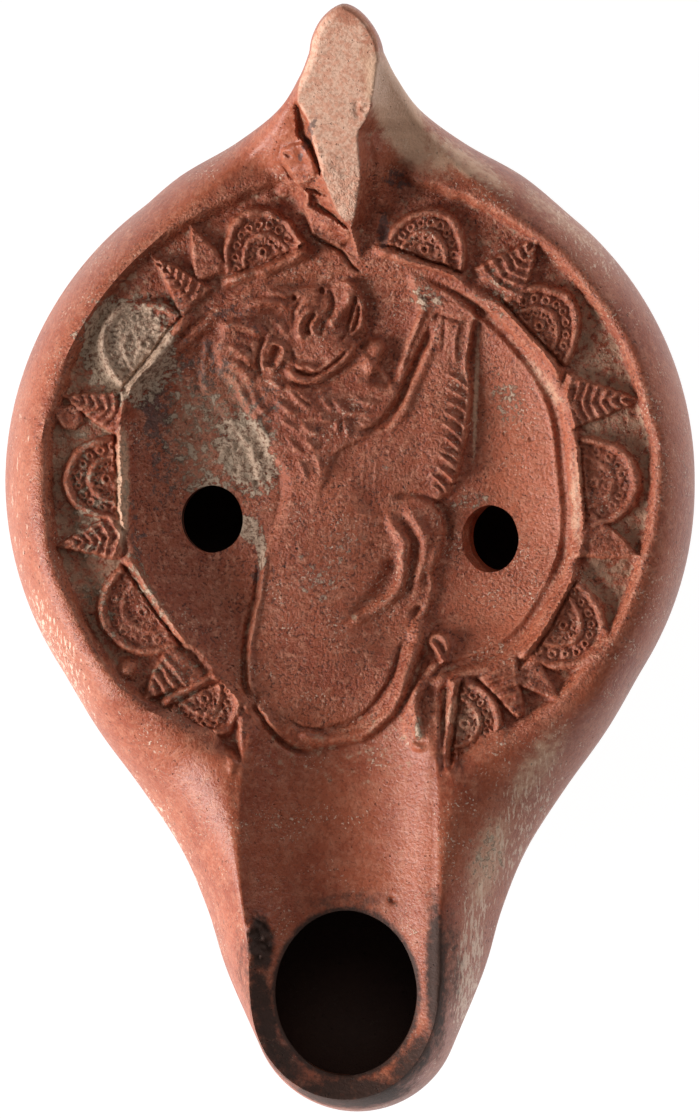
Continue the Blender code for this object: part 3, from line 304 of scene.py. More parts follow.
# The mane stands above the shoulder along this edge and runs up to the head.
MANE = (
    (-3.7, 7.5), (-3.3, 9.2), (-2.75, 10.8), (-2.55, 12.1), (-1.8, 13.3), (-0.1, 14.4), (1.55, 15.1),
    (2.7, 15.7), (4.0, 16.2), (5.4, 18.4), (6.4, 20.6), (5.0, 23.0), (1.0, 27.0), (-3.0, 31.0),
    (-9.0, 36.0), (-18.0, 36.0), (-19.0, 22.0), (-13.0, 14.0), (-10.0, 5.0))
MANE_RISE = 0.5
MUZZLE_LINES = (
    (0.6, 0.5, 0.08, ((-0.9, 34.9), (0.1, 34.7), (0.7, 34.2), (1.2, 33.2), (1.5, 32.2), (1.6, 31.1),
     (1.3, 29.8), (0.6, 28.8), (0.0, 28.0))),
    (0.85, 0.75, 0.1, ((0.2, 34.1), (-0.2, 32.8), (-0.9, 31.8), (-1.8, 30.4), (-2.5, 29.4))),
    (0.35, -0.6, 0.1, ((0.7, 33.4), (0.4, 31.8), (-0.1, 30.4), (-0.5, 29.0), (-1.0, 28.1),
     (-1.5, 27.6))),
    (0.3, -0.45, 0.1, ((1.1, 32.4), (1.1, 30.9), (0.7, 29.7), (0.1, 28.7))),
    (0.35, 0.35, 0.1, ((0.5, 32.6), (0.4, 31.0), (-0.2, 29.4), (-0.8, 28.2))),
    (0.5, -0.5, 0.1, ((-2.6, 34.2), (-2.2, 32.9), (-2.3, 31.6), (-3.0, 30.6))),
    (0.45, -0.5, 0.1, ((2.0, 28.7), (1.9, 27.6), (1.4, 26.9), (0.6, 26.2))))
EYE_LINES = (
    (0.45, 0.5, 0.1, ((-6.05, 27.7), (-6.5, 28.9), (-6.35, 30.2), (-5.7, 31.1), (-4.8, 31.7))),
    (0.35, -0.7, 0.08, ((-5.2, 28.4), (-5.45, 29.5), (-5.05, 30.4), (-4.4, 31.2))),
    (0.35, 0.4, 0.1, ((-4.3, 28.4), (-4.8, 29.3), (-4.3, 30.3), (-3.6, 30.8))),
    (0.35, -0.4, 0.1, ((-3.9, 28.3), (-3.6, 29.2), (-3.4, 30.2))),
    (0.4, 0.35, 0.15, ((-6.9, 30.8), (-6.3, 31.9), (-5.2, 32.7), (-4.0, 32.9))),
    (0.4, -0.35, 0.15, ((-7.3, 29.9), (-7.0, 31.6), (-5.9, 33.3))))
CHEEK_LINES = (
    (0.6, 0.65, 0.06, ((-7.9, 24.3), (-7.4, 23.4), (-6.5, 22.8), (-5.1, 22.6), (-3.8, 22.9),
     (-2.6, 23.6), (-1.5, 24.5), (-0.4, 25.6), (0.5, 26.7), (1.2, 27.2))),
    (0.4, 0.5, 0.08, ((-6.9, 24.6), (-6.4, 24.2), (-5.4, 24.3), (-4.5, 23.9), (-3.3, 24.2),
     (-2.2, 25.2), (-1.1, 26.1), (-0.1, 27.0))),
    (0.25, -0.45, 0.1, ((-7.0, 23.8), (-6.0, 23.4), (-4.9, 23.3), (-3.6, 23.6), (-2.5, 24.3),
     (-1.4, 25.3), (-0.4, 26.4))),
    (0.55, -0.5, 0.1, ((-7.8, 22.6), (-6.2, 21.9), (-4.4, 21.8), (-2.8, 22.4), (-1.2, 23.4),
     (0.2, 24.6), (1.2, 25.8))),
    (0.5, -0.35, 0.2, ((-7.6, 26.6), (-7.2, 25.4), (-6.0, 25.1), (-4.6, 25.0))))
EAR = (
    (-10.0, 27.8), (-8.9, 27.7), (-8.0, 26.8), (-7.9, 25.5), (-8.8, 24.2), (-9.9, 23.3), (-10.8, 23.8),
    (-11.0, 25.2), (-10.7, 26.7))
EAR_LINES = (
    (0.85, -0.95, 0.08, ((-9.1, 27.0), (-9.5, 26.2), (-10.0, 25.2), (-10.1, 24.4))),
    (0.4, 0.35, 0.1, ((-10.0, 28.1), (-10.9, 26.6), (-11.1, 25.0), (-10.9, 23.7))),
    (0.4, -0.45, 0.15, ((-10.6, 28.6), (-11.5, 26.8), (-11.7, 25.0), (-11.2, 23.2))),
    (0.3, 0.3, 0.1, ((-8.3, 27.3), (-7.7, 26.2), (-8.1, 24.9))))
# Locks of the mane: half width, rise, points.
MANE_LOCKS = (
    (0.8, 0.6, ((-16.6, 30.2), (-15.4, 29.6), (-13.8, 29.6), (-12.0, 28.9), (-10.6, 28.3))),
    (0.8, 0.55, ((-16.6, 31.8), (-14.6, 32.4), (-12.2, 32.5), (-9.5, 32.5), (-7.6, 31.8))),
    (0.75, 0.5, ((-16.5, 33.1), (-14.7, 34.1), (-13.5, 34.8), (-11.5, 35.4))),
    (0.8, 0.5, ((-15.6, 26.8), (-14.2, 26.4), (-12.9, 25.3), (-12.3, 24.2))),
    (0.8, 0.5, ((-16.0, 24.7), (-14.2, 24.3), (-13.0, 23.2), (-12.4, 22.0))),
    (0.6, 0.4, ((-12.4, 27.6), (-11.9, 26.4), (-12.0, 25.2))),
    (0.6, 0.4, ((-10.4, 30.4), (-9.0, 29.6), (-8.0, 28.4))),
    (0.55, 0.4, ((-10.8, 33.8), (-8.8, 33.6), (-7.6, 33.0))),
    (0.6, 0.4, ((-14.2, 21.6), (-13.4, 20.4), (-12.4, 19.6))),
    (0.5, 0.4, ((-10.4, 22.8), (-9.6, 22.2), (-8.5, 21.3))),
    (0.5, 0.4, ((-7.7, 21.2), (-6.3, 19.7), (-5.2, 18.9))),
    (0.4, 0.35, ((-6.8, 21.4), (-5.9, 20.4), (-4.6, 19.6))),
    (0.55, 0.45, ((-12.4, 21.4), (-11.7, 19.5), (-10.4, 18.1))),
    (0.5, 0.4, ((-2.4, 20.6), (-1.05, 19.0), (0.3, 18.4), (3.0, 18.4))),
    (0.4, 0.4, ((-1.5, 17.7), (-1.7, 16.8), (-1.6, 15.9))),
    (0.4, 0.4, ((-0.8, 17.9), (-0.5, 16.6), (-0.1, 15.2))),
    (0.4, 0.3, ((-4.0, 17.7), (-3.2, 17.6), (-2.2, 17.5))),
    (0.45, 0.35, ((-6.3, 17.0), (-5.1, 16.3), (-4.0, 15.6))),
    (0.45, 0.35, ((-5.8, 15.0), (-5.1, 14.5), (-4.4, 14.0))),
    (0.45, 0.3, ((-9.4, 20.2), (-8.4, 19.2), (-7.2, 18.4))),
    (0.45, 0.3, ((-8.8, 17.8), (-7.6, 16.8), (-6.6, 16.2))),
    (0.45, 0.3, ((-8.0, 15.4), (-7.0, 14.2), (-6.0, 13.4))),
    (0.45, 0.3, ((-3.6, 20.4), (-2.8, 19.4), (-1.8, 18.8))),
    (0.4, 0.3, ((-4.4, 13.2), (-3.9, 12.2), (-3.6, 11.4))),
    (0.45, 0.3, ((0.4, 20.6), (1.8, 19.8), (3.6, 19.6))),
    (0.45, 0.3, ((0.8, 17.4), (2.2, 17.0), (3.8, 17.2))),
    (0.45, 0.3, ((-6.6, 12.6), (-5.8, 11.2), (-5.4, 10.0))))
EYE_PITS = ((-3.66, 34.0, 0.6), (-7.1, 33.1, 0.5))
LION_RISE = 0.8
STROKE_SPREAD = 1.2
# Unevenness of the mould, along X and along Y: shift of the carving in the plan, cell and seed.
WARPS = (((0.15, 1.7, 41), (0.22, 5.0, 42)), ((0.15, 1.7, 51), (0.22, 5.0, 52)))
LION_WARP = 0.45


def smoothstep(start, end, value):
    """Rise from 0 at start to 1 at end with flat ends; start may be the larger of the two."""
    part = np.clip((value - start) / (end - start), 0.0, 1.0)
    return part * part * (3.0 - 2.0 * part)


def smooth_min(first, second, blend):
    """The lesser of two fields, rounded where they cross."""
    part = np.clip(0.5 + 0.5 * (second - first) / blend, 0.0, 1.0)
    return second + (first - second) * part - blend * part * (1.0 - part)


def smooth_max(first, second, blend):
    """The greater of two fields, rounded where they cross."""
    return -smooth_min(-first, -second, blend)


def bump(distance, half_width):
    """A rounded ridge profile: 1 on the line and 0 from half_width outward."""
    part = np.clip(1.0 - (distance / half_width) ** 2, 0.0, 1.0)
    return part * np.sqrt(part)


def noise(x, y, cell, seed):
    """Smooth random heights between -1 and 1, with features about one cell wide."""
    lattice = np.random.default_rng(seed).uniform(-1.0, 1.0, (64, 64))
    across = np.asarray(x) / cell + 500.0
    along = np.asarray(y) / cell + 500.0
    column = np.floor(across).astype(int)
    row = np.floor(along).astype(int)
    part_x = smoothstep(0.0, 1.0, across - column)
    part_y = smoothstep(0.0, 1.0, along - row)

    def corner(right, up):
        return lattice[(row + up) % 64, (column + right) % 64]

    low = corner(0, 0) + (corner(1, 0) - corner(0, 0)) * part_x
    high = corner(0, 1) + (corner(1, 1) - corner(0, 1)) * part_x
    return low + (high - low) * part_y


def waver(x, y, *layers):
    """The sum of several noises, each with its height, cell and seed."""
    return sum(height * noise(x, y, cell, seed) for height, cell, seed in layers)


def segment_distance(x, y, start, end):
    """Distance from points to a straight segment, and how far along it the nearest place lies."""
    along = np.subtract(end, start)
    part = ((x - start[0]) * along[0] + (y - start[1]) * along[1]) / float(along @ along)
    part = np.clip(part, 0.0, 1.0)
    return np.hypot(x - start[0] - part * along[0], y - start[1] - part * along[1]), part


def line_distance(x, y, points):
    """Distance from points to a line through several points, and the part of its length travelled."""
    spans = np.hypot(*np.diff(points, axis=0).T)
    total = spans.sum()
    nearest = np.full(np.shape(x), 1e9)
    travelled = np.zeros(np.shape(x))
    before = 0.0
    for start, end, span in zip(points[:-1], points[1:], spans):
        distance, part = segment_distance(x, y, start, end)
        closer = distance < nearest
        nearest = np.where(closer, distance, nearest)
        travelled = np.where(closer, (before + part * span) / total, travelled)
        before += span
    return nearest, travelled


def curve_through(points, steps):
    """A smooth open curve through points, with the given steps between each pair."""
    before_first = 2 * np.array(points[0]) - points[1]
    after_last = 2 * np.array(points[-1]) - points[-2]
    knots = np.array([before_first, *points, after_last])
    curve = []
    for index in range(1, len(knots) - 2):
        before, start, end, after = knots[index - 1:index + 3]
        for part in np.arange(steps) / steps:
            curve.append(0.5 * (2 * start + (end - before) * part
                                + (2 * before - 5 * start + 4 * end - after) * part ** 2
                                + (3 * start - before - 3 * end + after) * part ** 3))
    curve.append(knots[-2])
    return np.array(curve)


def inside_loop(x, y, loop):
    """True for the points inside a closed loop."""
    inside = np.zeros(np.shape(x), dtype=bool)
    for start, end in zip(loop, np.roll(loop, -1, axis=0)):
        crosses = (start[1] > y) != (end[1] > y)
        rise = end[1] - start[1] if end[1] != start[1] else 1e-12
        inside ^= crosses & (x < (end[0] - start[0]) * (y - start[1]) / rise + start[0])
    return inside


def loop_distance(x, y, loop):
    """Signed distance to a closed loop, negative inside."""
    distance = line_distance(x, y, np.vstack([loop, loop[:1]]))[0]
    return np.where(inside_loop(x, y, loop), -distance, distance)


def oval_distance(x, y, centre, radii):
    """Roughly the distance outside an oval, negative inside it."""
    reach = np.hypot((x - centre[0]) / radii[0], (y - centre[1]) / radii[1])
    return (reach - 1.0) * 0.5 * (radii[0] + radii[1])


def polar_point(direction, distance):
    """A point by its direction in degrees and its distance from the discus centre."""
    angle = math.radians(direction)
    return (DISCUS_CENTRE[0] + distance * math.cos(angle), DISCUS_CENTRE[1] + distance * math.sin(angle))


class Relief:
    """Heights at a set of plan points, to which small marks are added one at a time."""

    def __init__(self, x, y):
        self.x = np.ravel(x)
        self.y = np.ravel(y)
        self.z = np.zeros(self.x.shape)
        self.shape = np.shape(x)

    def heights(self):
        """The heights in the shape of the points given."""
        return self.z.reshape(self.shape)

    def near(self, points, margin):
        """The places within a margin of the box round some points."""
        low = np.min(points, axis=0) - margin
        high = np.max(points, axis=0) + margin
        in_x = (self.x > low[0]) & (self.x < high[0])
        return np.flatnonzero(in_x & (self.y > low[1]) & (self.y < high[1]))

    def stroke(self, points, half_width, rise, fade=0.0):
        """Add a ridge, or a groove where rise is negative, that may thin out towards its ends."""
        at = self.near(points, STROKE_SPREAD * half_width + 0.3)
        line = curve_through(points, 4) if len(points) > 2 else np.array(points)
        distance, travelled = line_distance(self.x[at], self.y[at], line)
        ends = np.ones(distance.shape)
        if fade:
            ends = smoothstep(-0.3 * fade, fade, travelled)
            ends = ends * smoothstep(1.0 + 0.3 * fade, 1.0 - fade, travelled)
        reach = half_width * STROKE_SPREAD * (0.6 + 0.4 * ends)
        part = np.clip(1.0 - (distance / reach) ** 2, 0.0, 1.0)
        self.z[at] += rise * ends * part * part

    def mass(self, start, end, half_width, rise):
        """Add a rounded mass along a segment."""
        at = self.near((start, end), half_width)
        distance = segment_distance(self.x[at], self.y[at], start, end)[0]
        self.z[at] += rise * bump(distance, half_width)

    def dome(self, centre, radius, rise):
        """Add a round boss, or a pit where rise is negative."""
        at = self.near((centre,), radius)
        self.z[at] += rise * bump(np.hypot(self.x[at] - centre[0], self.y[at] - centre[1]), radius)

    def ring(self, centre, radius, half_width, rise, middle):
        """Add a small ring with a hollow or a boss in its middle."""
        at = self.near((centre,), radius + half_width)
        distance = np.hypot(self.x[at] - centre[0], self.y[at] - centre[1])
        self.z[at] += rise * bump(distance - radius, half_width) + middle * bump(distance, radius)

    def plateau(self, loop, rise, outer, inner):
        """Raise the inside of a loop, with an edge that climbs between two distances inside it."""
        at = self.near(loop, 1.0)
        inside = -loop_distance(self.x[at], self.y[at], np.array(loop))
        self.z[at] += rise * smoothstep(outer, inner, inside)


class Stamp:
    """The frame of one stamp: its origin, an axis that points outward and one across it."""

    def __init__(self, origin, facing):
        angle = math.radians(facing)
        self.origin = origin
        self.out_axis = np.array([math.cos(angle), math.sin(angle)])
        self.across_axis = np.array([-math.sin(angle), math.cos(angle)])

    def place(self, across, out):
        """The plan point at some steps across and outward."""
        return self.origin + across * self.across_axis + out * self.out_axis

    def around(self, relief, half_width, length, margin):
        """The relief's places round the stamp, and how far across and outward they lie."""
        corners = [self.place(side * half_width, end * length) for side in (-1, 1) for end in (0, 1)]
        at = relief.near(corners, margin)
        x = relief.x[at] - self.origin[0]
        y = relief.y[at] - self.origin[1]
        across = x * self.across_axis[0] + y * self.across_axis[1]
        return at, across, x * self.out_axis[0] + y * self.out_axis[1]


def half_disc(relief, base, facing, half_base, height, keep):
    """A half-disc stamp: bead on its base, smooth border, ring pearls, inner arc and a rosette."""
    stamp = Stamp(base, facing)
    at, across, out = stamp.around(relief, half_base, height, 1.2)
    reach = np.hypot(across / half_base, np.maximum(out, 0.0) / height)
    scale = 0.5 * (half_base + height)
    plate = smoothstep(1.03, 0.9, reach) * smoothstep(0.6, 1.05, out)
    border = bump((reach - 0.9) * scale, 0.85) * (out > 0.5)
    sunk = smoothstep(0.85, 0.78, reach) * smoothstep(0.8, 1.2, out)
    inner_arc = bump((reach - 0.53) * scale, 0.48) * smoothstep(0.5, 1.0, out)
    bead = bump(out + 0.2, 0.95) * smoothstep(half_base + 1.2, half_base - 1.2, np.abs(across))
    carved = HALF_DISC_RISE * plate + (0.3 * border - 0.32 * sunk + 0.5 * keep * inner_arc) * plate
    relief.z[at] = np.maximum(relief.z[at], np.maximum(carved, BEAD_HEIGHT * bead))
    worn = waver(relief.x[at], relief.y[at], (0.35, 3.0, 23), (0.25, 1.1, 24))
    relief.z[at] *= 1.0 + 0.5 * np.clip(worn, -0.5, 0.3)

    def add_ring(across, out, radius, half_width, rise, middle):
        relief.ring(stamp.place(across, out), radius, half_width, rise * keep, middle)

    for index in range(PEARLS):
        turn = math.pi * (index + 0.5) / PEARLS
        add_ring(0.7 * half_base * math.cos(turn), max(0.7 * height * math.sin(turn), 0.95), *PEARL)
    add_ring(0.0, 0.25 * height, *ROSETTE_HEART)
    for index in range(PETALS):
        turn = math.pi * (0.04 + 0.184 * index)
        add_ring(0.33 * half_base * math.cos(turn), 0.22 * height + 0.22 * height * math.sin(turn), *PETAL)


def leaf(relief, tip, facing, length, half_width, kind):
    """A triangular leaf stamp that points outward, with slanted veins, a ladder of bars, or plain."""
    stamp = Stamp(tip, facing)
    at, across, out = stamp.around(relief, half_width, -length, 0.8)
    back = -out
    part = np.clip(back / length, 0.0, 1.0)
    edge = half_width * part ** 0.8 - np.abs(across)
    plate = smoothstep(0.0, 0.5, edge) * smoothstep(-0.1, 0.4, back)
    plate = plate * smoothstep(length + 0.3, length - 0.6, back)
    relief.z[at] = np.maximum(relief.z[at], LEAF_RISE * plate)

    def place(across, back):
        return stamp.place(across, -back)

    rows = int(length / VEIN_GAP) - 1
    for row in range(rows):
        start = FIRST_VEIN + VEIN_GAP * row
        reach = half_width * (start / length) ** 0.8 - 0.45
        if kind == "veined":
            for side in (-1, 1):
                vein = (place(0.12 * side, start + 0.5), place(side * reach, start - 0.45))
                relief.stroke(vein, 0.3, 0.34)
        elif kind == "ladder" and row < rows - 1:
            relief.stroke((place(-reach, start + 0.4), place(reach, start - 0.2)), 0.36, 0.44)
    if kind == "veined":
        relief.stroke((place(0.0, 1.0), place(0.0, length - 0.6)), 0.3, -0.2)


def band_relief(relief):
    """All the stamps of the band."""
    for x, y, radius, ring_rise in DOTS:
        relief.dome((x, y), radius, 1.3 - 0.5 * ring_rise)
        relief.ring((x, y), 0.68 * radius, 0.34 * radius, ring_rise, 0.0)
    for direction, distance, facing, length, half_width, kind in LEAVES:
        leaf(relief, polar_point(direction, distance), facing, length, half_width, kind)
    for index, (direction, distance, facing, half_base, height) in enumerate(HALF_DISCS):
        keep = 0.55 if index in WORN_HALF_DISCS else 1.0
        half_disc(relief, polar_point(direction, distance), facing, half_base, height, keep)


def lion_relief(relief):
    """The leaping lion: raised outline, rounded masses, then carved lines and hair."""
    relief.plateau(LION_OUTLINE, LION_RISE, -0.15, 0.75)
    for start, end, half_width, rise in LION_MASSES:
        relief.mass(start, end, half_width, rise)
    mane = Relief(relief.x, relief.y)
    mane.plateau(MANE, MANE_RISE, -0.2, 0.4)
    relief.z += mane.z * smoothstep(6.5, 11.5, relief.y) * smoothstep(31.0, 27.0, relief.y)
    relief.plateau(TUFT, 1.15, -0.1, 0.7)
    relief.plateau(EAR, 0.6, -0.1, 0.5)
    groups = (BACK_LINES, TAIL_LINES, TUFT_LINES, HIND_FOOT_LINES, HIND_LEG_LINES, FORELEG_LINES,
              MUZZLE_LINES, EYE_LINES, CHEEK_LINES, EAR_LINES)
    for group in groups:
        for half_width, rise, fade, points in group:
            relief.stroke(points, half_width, rise, fade)
    for half_width, rise, points in MANE_LOCKS:
        relief.stroke(points, half_width, rise, 0.25)
    for start, end in BELLY_HAIR:
        relief.stroke((start, end), 0.22, 0.16, 0.25)
    for start, end in BELLY_COMBING:
        relief.stroke((start, end), 0.3, 0.09, 0.3)
    for start, end in FRINGE:
        middle = (0.5 * (start[0] + end[0]) + 0.15, 0.5 * (start[1] + end[1]) + 0.15)
        relief.stroke((start, middle, end), 0.26, 0.34, 0.2)
    for x, y, radius in EYE_PITS:
        relief.dome((x, y), radius, -0.9)
    in_mane = smoothstep(8.0, 14.0, relief.y) * smoothstep(4.0, 0.0, relief.x)
    relief.z += in_mane * waver(relief.x, relief.y, (0.1, 1.2, 25), (0.06, 0.6, 26))


def channel_distance(x, y):
    """Signed distance to the crest round the channel and the wick hole, negative inside."""
    end = smoothstep(-38.0, -54.0, y)
    centre = CHANNEL_X + (NOZZLE_CREST_CENTRE[0] - CHANNEL_X) * end
    half_width = CHANNEL_HALF_WIDTH + (NOZZLE_CREST_RADII[0] - CHANNEL_HALF_WIDTH) * end
    strip = np.maximum(np.abs(x - centre) - half_width, y - CHANNEL_TOP_Y)
    oval = oval_distance(x, y, NOZZLE_CREST_CENTRE, NOZZLE_CREST_RADII)
    return np.where(y > NOZZLE_CREST_CENTRE[1], strip, oval)


def discus_distance(x, y):
    """Signed distance to the many-sided discus, negative inside."""
    distance = np.full(np.shape(x), -1e9)
    for direction, reach in DISCUS_SIDES:
        angle = math.radians(direction)
        side = (x - DISCUS_CENTRE[0]) * math.cos(angle) + (y - DISCUS_CENTRE[1]) * math.sin(angle)
        distance = smooth_max(distance, side - reach, DISCUS_CORNER)
    return distance


def facet_height(x, y):
    """Height of the trimmed facet on the handle, and of the steeper spine below its foot."""
    above = y - FACET_FOOT[1]
    return FACET_FOOT[2] + np.where(above > 0.0, FACET_SLOPE, SPINE_SLOPE) * above + FACET_TILT * x


def handle_height(x, y):
    """Height of the handle lug: facet, flanks and skirts, hollowed on the right."""
    facet = facet_height(x, y)
    drift = SPINE_DRIFT * np.clip(FACET_FOOT[1] - y, 0.0, None)
    left = np.interp(y, *np.array(FACET_LEFT).T) + drift
    right = np.interp(y, *np.array(FACET_RIGHT).T) + drift
    beside = np.maximum(left - x, x - right)
    drop = FLANK_DROP * (1.0 - 0.6 * smoothstep(58.0, 68.0, y))
    on_left = x < 0.5 * (left + right)
    drop = np.where(on_left, 0.55 * drop, drop)
    flank = facet - drop * (1.0 - np.clip(1.0 - beside / FLANK_WIDTH, 0.0, 1.0) ** 2) * (beside > 0.0)
    out_of_band = smoothstep(45.0, 52.0, y)
    spread = SKIRT_SPREAD_IN_BAND + (SKIRT_SPREAD - SKIRT_SPREAD_IN_BAND) * out_of_band
    fade = np.exp(-(np.clip(beside - FLANK_WIDTH, 0.0, None) / spread) ** 2)
    floor = BAND_Z - 1.0 + (RIM_Z - BAND_Z + 1.0) * out_of_band
    level = np.minimum(facet - drop, floor)
    lug = level + (flank - level) * fade
    shoulder = floor + (facet - drop - floor) * smoothstep(*FIN_END, y)
    fin = shoulder + (facet - shoulder) * np.exp(-np.clip(beside - 0.3, 0.0, None) / FIN_HOLLOW)
    in_fin = FIN_SHARE * smoothstep(44.0, 47.0, y) * (1.0 - on_left)
    lug = lug + (np.minimum(fin, lug) - lug) * in_fin
    return lug - 3.0 * smoothstep(38.6, 36.0, y)


def crusts(relief):
    """Lumpy crusts and pits: the blistered clay beside the wick hole, the lime on the left."""
    for centre, radii, count, most, seed in CRUSTS:
        rng = np.random.default_rng(seed)
        for _ in range(count):
            turn = rng.uniform(0.0, 2.0 * math.pi)
            reach = math.sqrt(rng.uniform(0.0, 1.0))
            x = centre[0] + radii[0] * reach * math.cos(turn)
            y = centre[1] + radii[1] * reach * math.sin(turn)
            relief.dome((x, y), rng.uniform(0.35, 0.85), most * rng.uniform(0.3, 1.0))
    for x, y, radius, depth in PITS:
        relief.dome((x, y), radius, -depth)


def surface_marks(relief):
    """Torn clay by the handle and the unevenness left by hands, mould and use."""
    for rise, loop in TORN_FLAPS:
        relief.plateau(loop, rise, -0.1, 0.4)
    for half_width, depth, points in TEARS:
        relief.stroke(points, half_width, -depth, 0.15)
    torn = smoothstep(1.0, -1.5, oval_distance(relief.x, relief.y, *CRUMBLED))
    relief.z += torn * waver(relief.x, relief.y, (0.16, 1.5, 15), (0.12, 0.7, 16))
    relief.z += waver(relief.x, relief.y, (0.1, 7.0, 11), (0.04, 2.6, 12))
    relief.z += waver(relief.x, relief.y, (0.02, 0.9, 13), (0.012, 0.45, 14))
    crusts(relief)


def warped(x, y, share):
    """Plan points shifted a little at random, so that carved lines come out uneven."""
    return x + share * waver(x, y, *WARPS[0]), y + share * waver(x, y, *WARPS[1])


def upper_height(x, y):
    """Height of the upper side inside its rounded edge."""
    stamps = Relief(*warped(x, y, 1.0))
    band_relief(stamps)
    lion = Relief(*warped(x, y, LION_WARP))
    lion_relief(lion)
    ridges = Relief(x, y)
    for half_width, rise, points in CHANNEL_RIDGES:
        ridges.stroke(points, half_width, rise, 0.12)
    marks = Relief(x, y)
    surface_marks(marks)
    from_band_centre = np.hypot(x - BAND_CENTRE[0], y - BAND_CENTRE[1])
    lip = BAND_RADIUS + 0.35 * noise(x, y, 5.0, 28) + 0.16 * noise(x, y, 1.6, 29)
    rim_wall = smoothstep(lip - BAND_WALL, lip, from_band_centre)
    around = BAND_Z + (RIM_Z - BAND_Z) * rim_wall
    discus = discus_distance(x, y)
    channel = channel_distance(x, y)
    wall_top = BAND_Z + CHANNEL_WALL_RISE * smoothstep(*CHANNEL_WALL_Y, y)
    by_channel = smoothstep(1.3, 0.4, channel) * smoothstep(-12.0, -16.0, y)
    around = np.maximum(around, around + (wall_top - around) * by_channel)
    in_band = (1.0 - rim_wall) * smoothstep(-0.9, 0.1, discus)
    crumbs = waver(x, y, (0.12, 1.3, 21), (0.08, 0.6, 22))
    around = around + (stamps.heights() + crumbs) * in_band
    bowl_part = np.clip(1.0 + discus / BOWL_REACH, 0.0, None)
    bowl = DISCUS_Z + (BAND_Z + BOWL_LIP - DISCUS_Z) * bowl_part ** 2
    bowl = bowl + BOWL_EDGE_SLOPE * np.clip(discus, 0.0, None)
    trough_part = np.clip(1.0 + channel / CHANNEL_HALF_WIDTH, 0.0, None)
    trough = CHANNEL_Z + (RIM_Z - CHANNEL_Z) * trough_part ** 2
    trough = trough + CREST_OUTER_SLOPE * np.clip(channel, 0.0, None)
    sunk = smooth_min(bowl, trough, SUNKEN_BLEND)
    blend = BAND_BLEND + (CREST_BLEND - BAND_BLEND) * smoothstep(*BLEND_CHANGES_Y, y)
    carved = smooth_min(around, sunk, blend)
    place, half_width, rise = DISCUS_BEAD
    border = rise * bump(discus - place, half_width) * smoothstep(38.0, 30.0, y)
    for place, half_width, rise in DISCUS_GROOVES:
        border = border + rise * bump(discus - place, half_width) * smoothstep(8.0, 16.0, x)
    border = border * (0.85 + 0.35 * noise(x, y, 4.0, 27))
    border = border * (1.0 - rim_wall) * smoothstep(-1.5, 0.5, channel)
    carved = carved + border + ridges.heights()
    carved = carved + lion.heights() * smoothstep(0.2, 2.2, -np.minimum(discus, channel))
    height = smooth_max(carved, handle_height(x, y), 0.8)
    return height + marks.heights()


# ---- Mesh -----------------------------------------------------------------------------------
WALL = 3.6
FOOT_RADIUS = 20.6
FOOT_LAND_OUTER = 20.0
FOOT_LAND_INNER = 18.0
FOOT_INNER_RADIUS = 17.2
BASE_Z = 1.6
BASE_RING_RADIUS = 9.5
BODY_BULGE = 2.0
HANDLE_BULGE = 1.65
RIB_HEIGHT = 2.2
RIB_HALF_WIDTH = 4.5
CHAMBER_FLOOR_Z = FOOT_TOP_Z + WALL

RASTER_STEP = 0.1
CARVING_TOLERANCE = 0.0026
CARVING_GAPS = (0.2, 1.2)
EDGE_STEPS = 10
LOWER_STEPS = 12
CHAMBER_POINTS = 112
CHAMBER_STEPS = 7
ROOF_GAP = 2.4
WICK_POINTS = 110
FILLING_POINTS = 64
HOLE_STEPS = 6
# How far each hole leans to its inner end in the plan.
HOLE_LEANS = ((0.0, 0.0), (0.3, 0.0), (1.5, 0.3))


def centre_x(y):
    """Where the middle line of the plan runs at each place along it."""
    return np.interp(y, *np.array(CENTRE_LINE).T)


def half_outline():
    """The right half of the plan from the handle tip to the nozzle tip."""
    turn = np.radians(np.linspace(90.0, 0.0, 16))
    tip_base_y = HANDLE_TIP_Y - HANDLE_TIP_LENGTH
    power = 2.0 / HANDLE_TIP_ROUNDNESS
    tip = np.column_stack([HANDLE_TIP_HALF_WIDTH * np.cos(turn) ** power,
                           tip_base_y + HANDLE_TIP_LENGTH * np.sin(turn) ** power])
    high = math.asin((HANDLE_MEETS_BODY_Y - BODY_CENTRE_Y) / BODY_RADIUS)
    low = math.asin((NOZZLE_LEAVES_BODY_Y - BODY_CENTRE_Y) / BODY_RADIUS)
    turn_body = np.linspace(high, low, 60)
    body = np.column_stack([BODY_RADIUS * np.cos(turn_body),
                            BODY_CENTRE_Y + BODY_RADIUS * np.sin(turn_body)])
    side = curve_through([tuple(tip[-1]), *HANDLE_SIDE, tuple(body[0])], 8)
    end_y = NOZZLE_TIP_Y + NOZZLE_TIP_LENGTH
    turn_end = np.radians(np.linspace(NOZZLE_TIP_START, 90.0, 24))
    end = np.column_stack([NOZZLE_TIP_HALF_WIDTH * np.cos(turn_end),
                           end_y - NOZZLE_TIP_LENGTH * np.sin(turn_end)])
    flank = curve_through([tuple(body[-1]), *NOZZLE_SIDE, tuple(end[0])], 8)
    return np.vstack([tip, side[1:], body[1:], flank[1:], end[1:]])


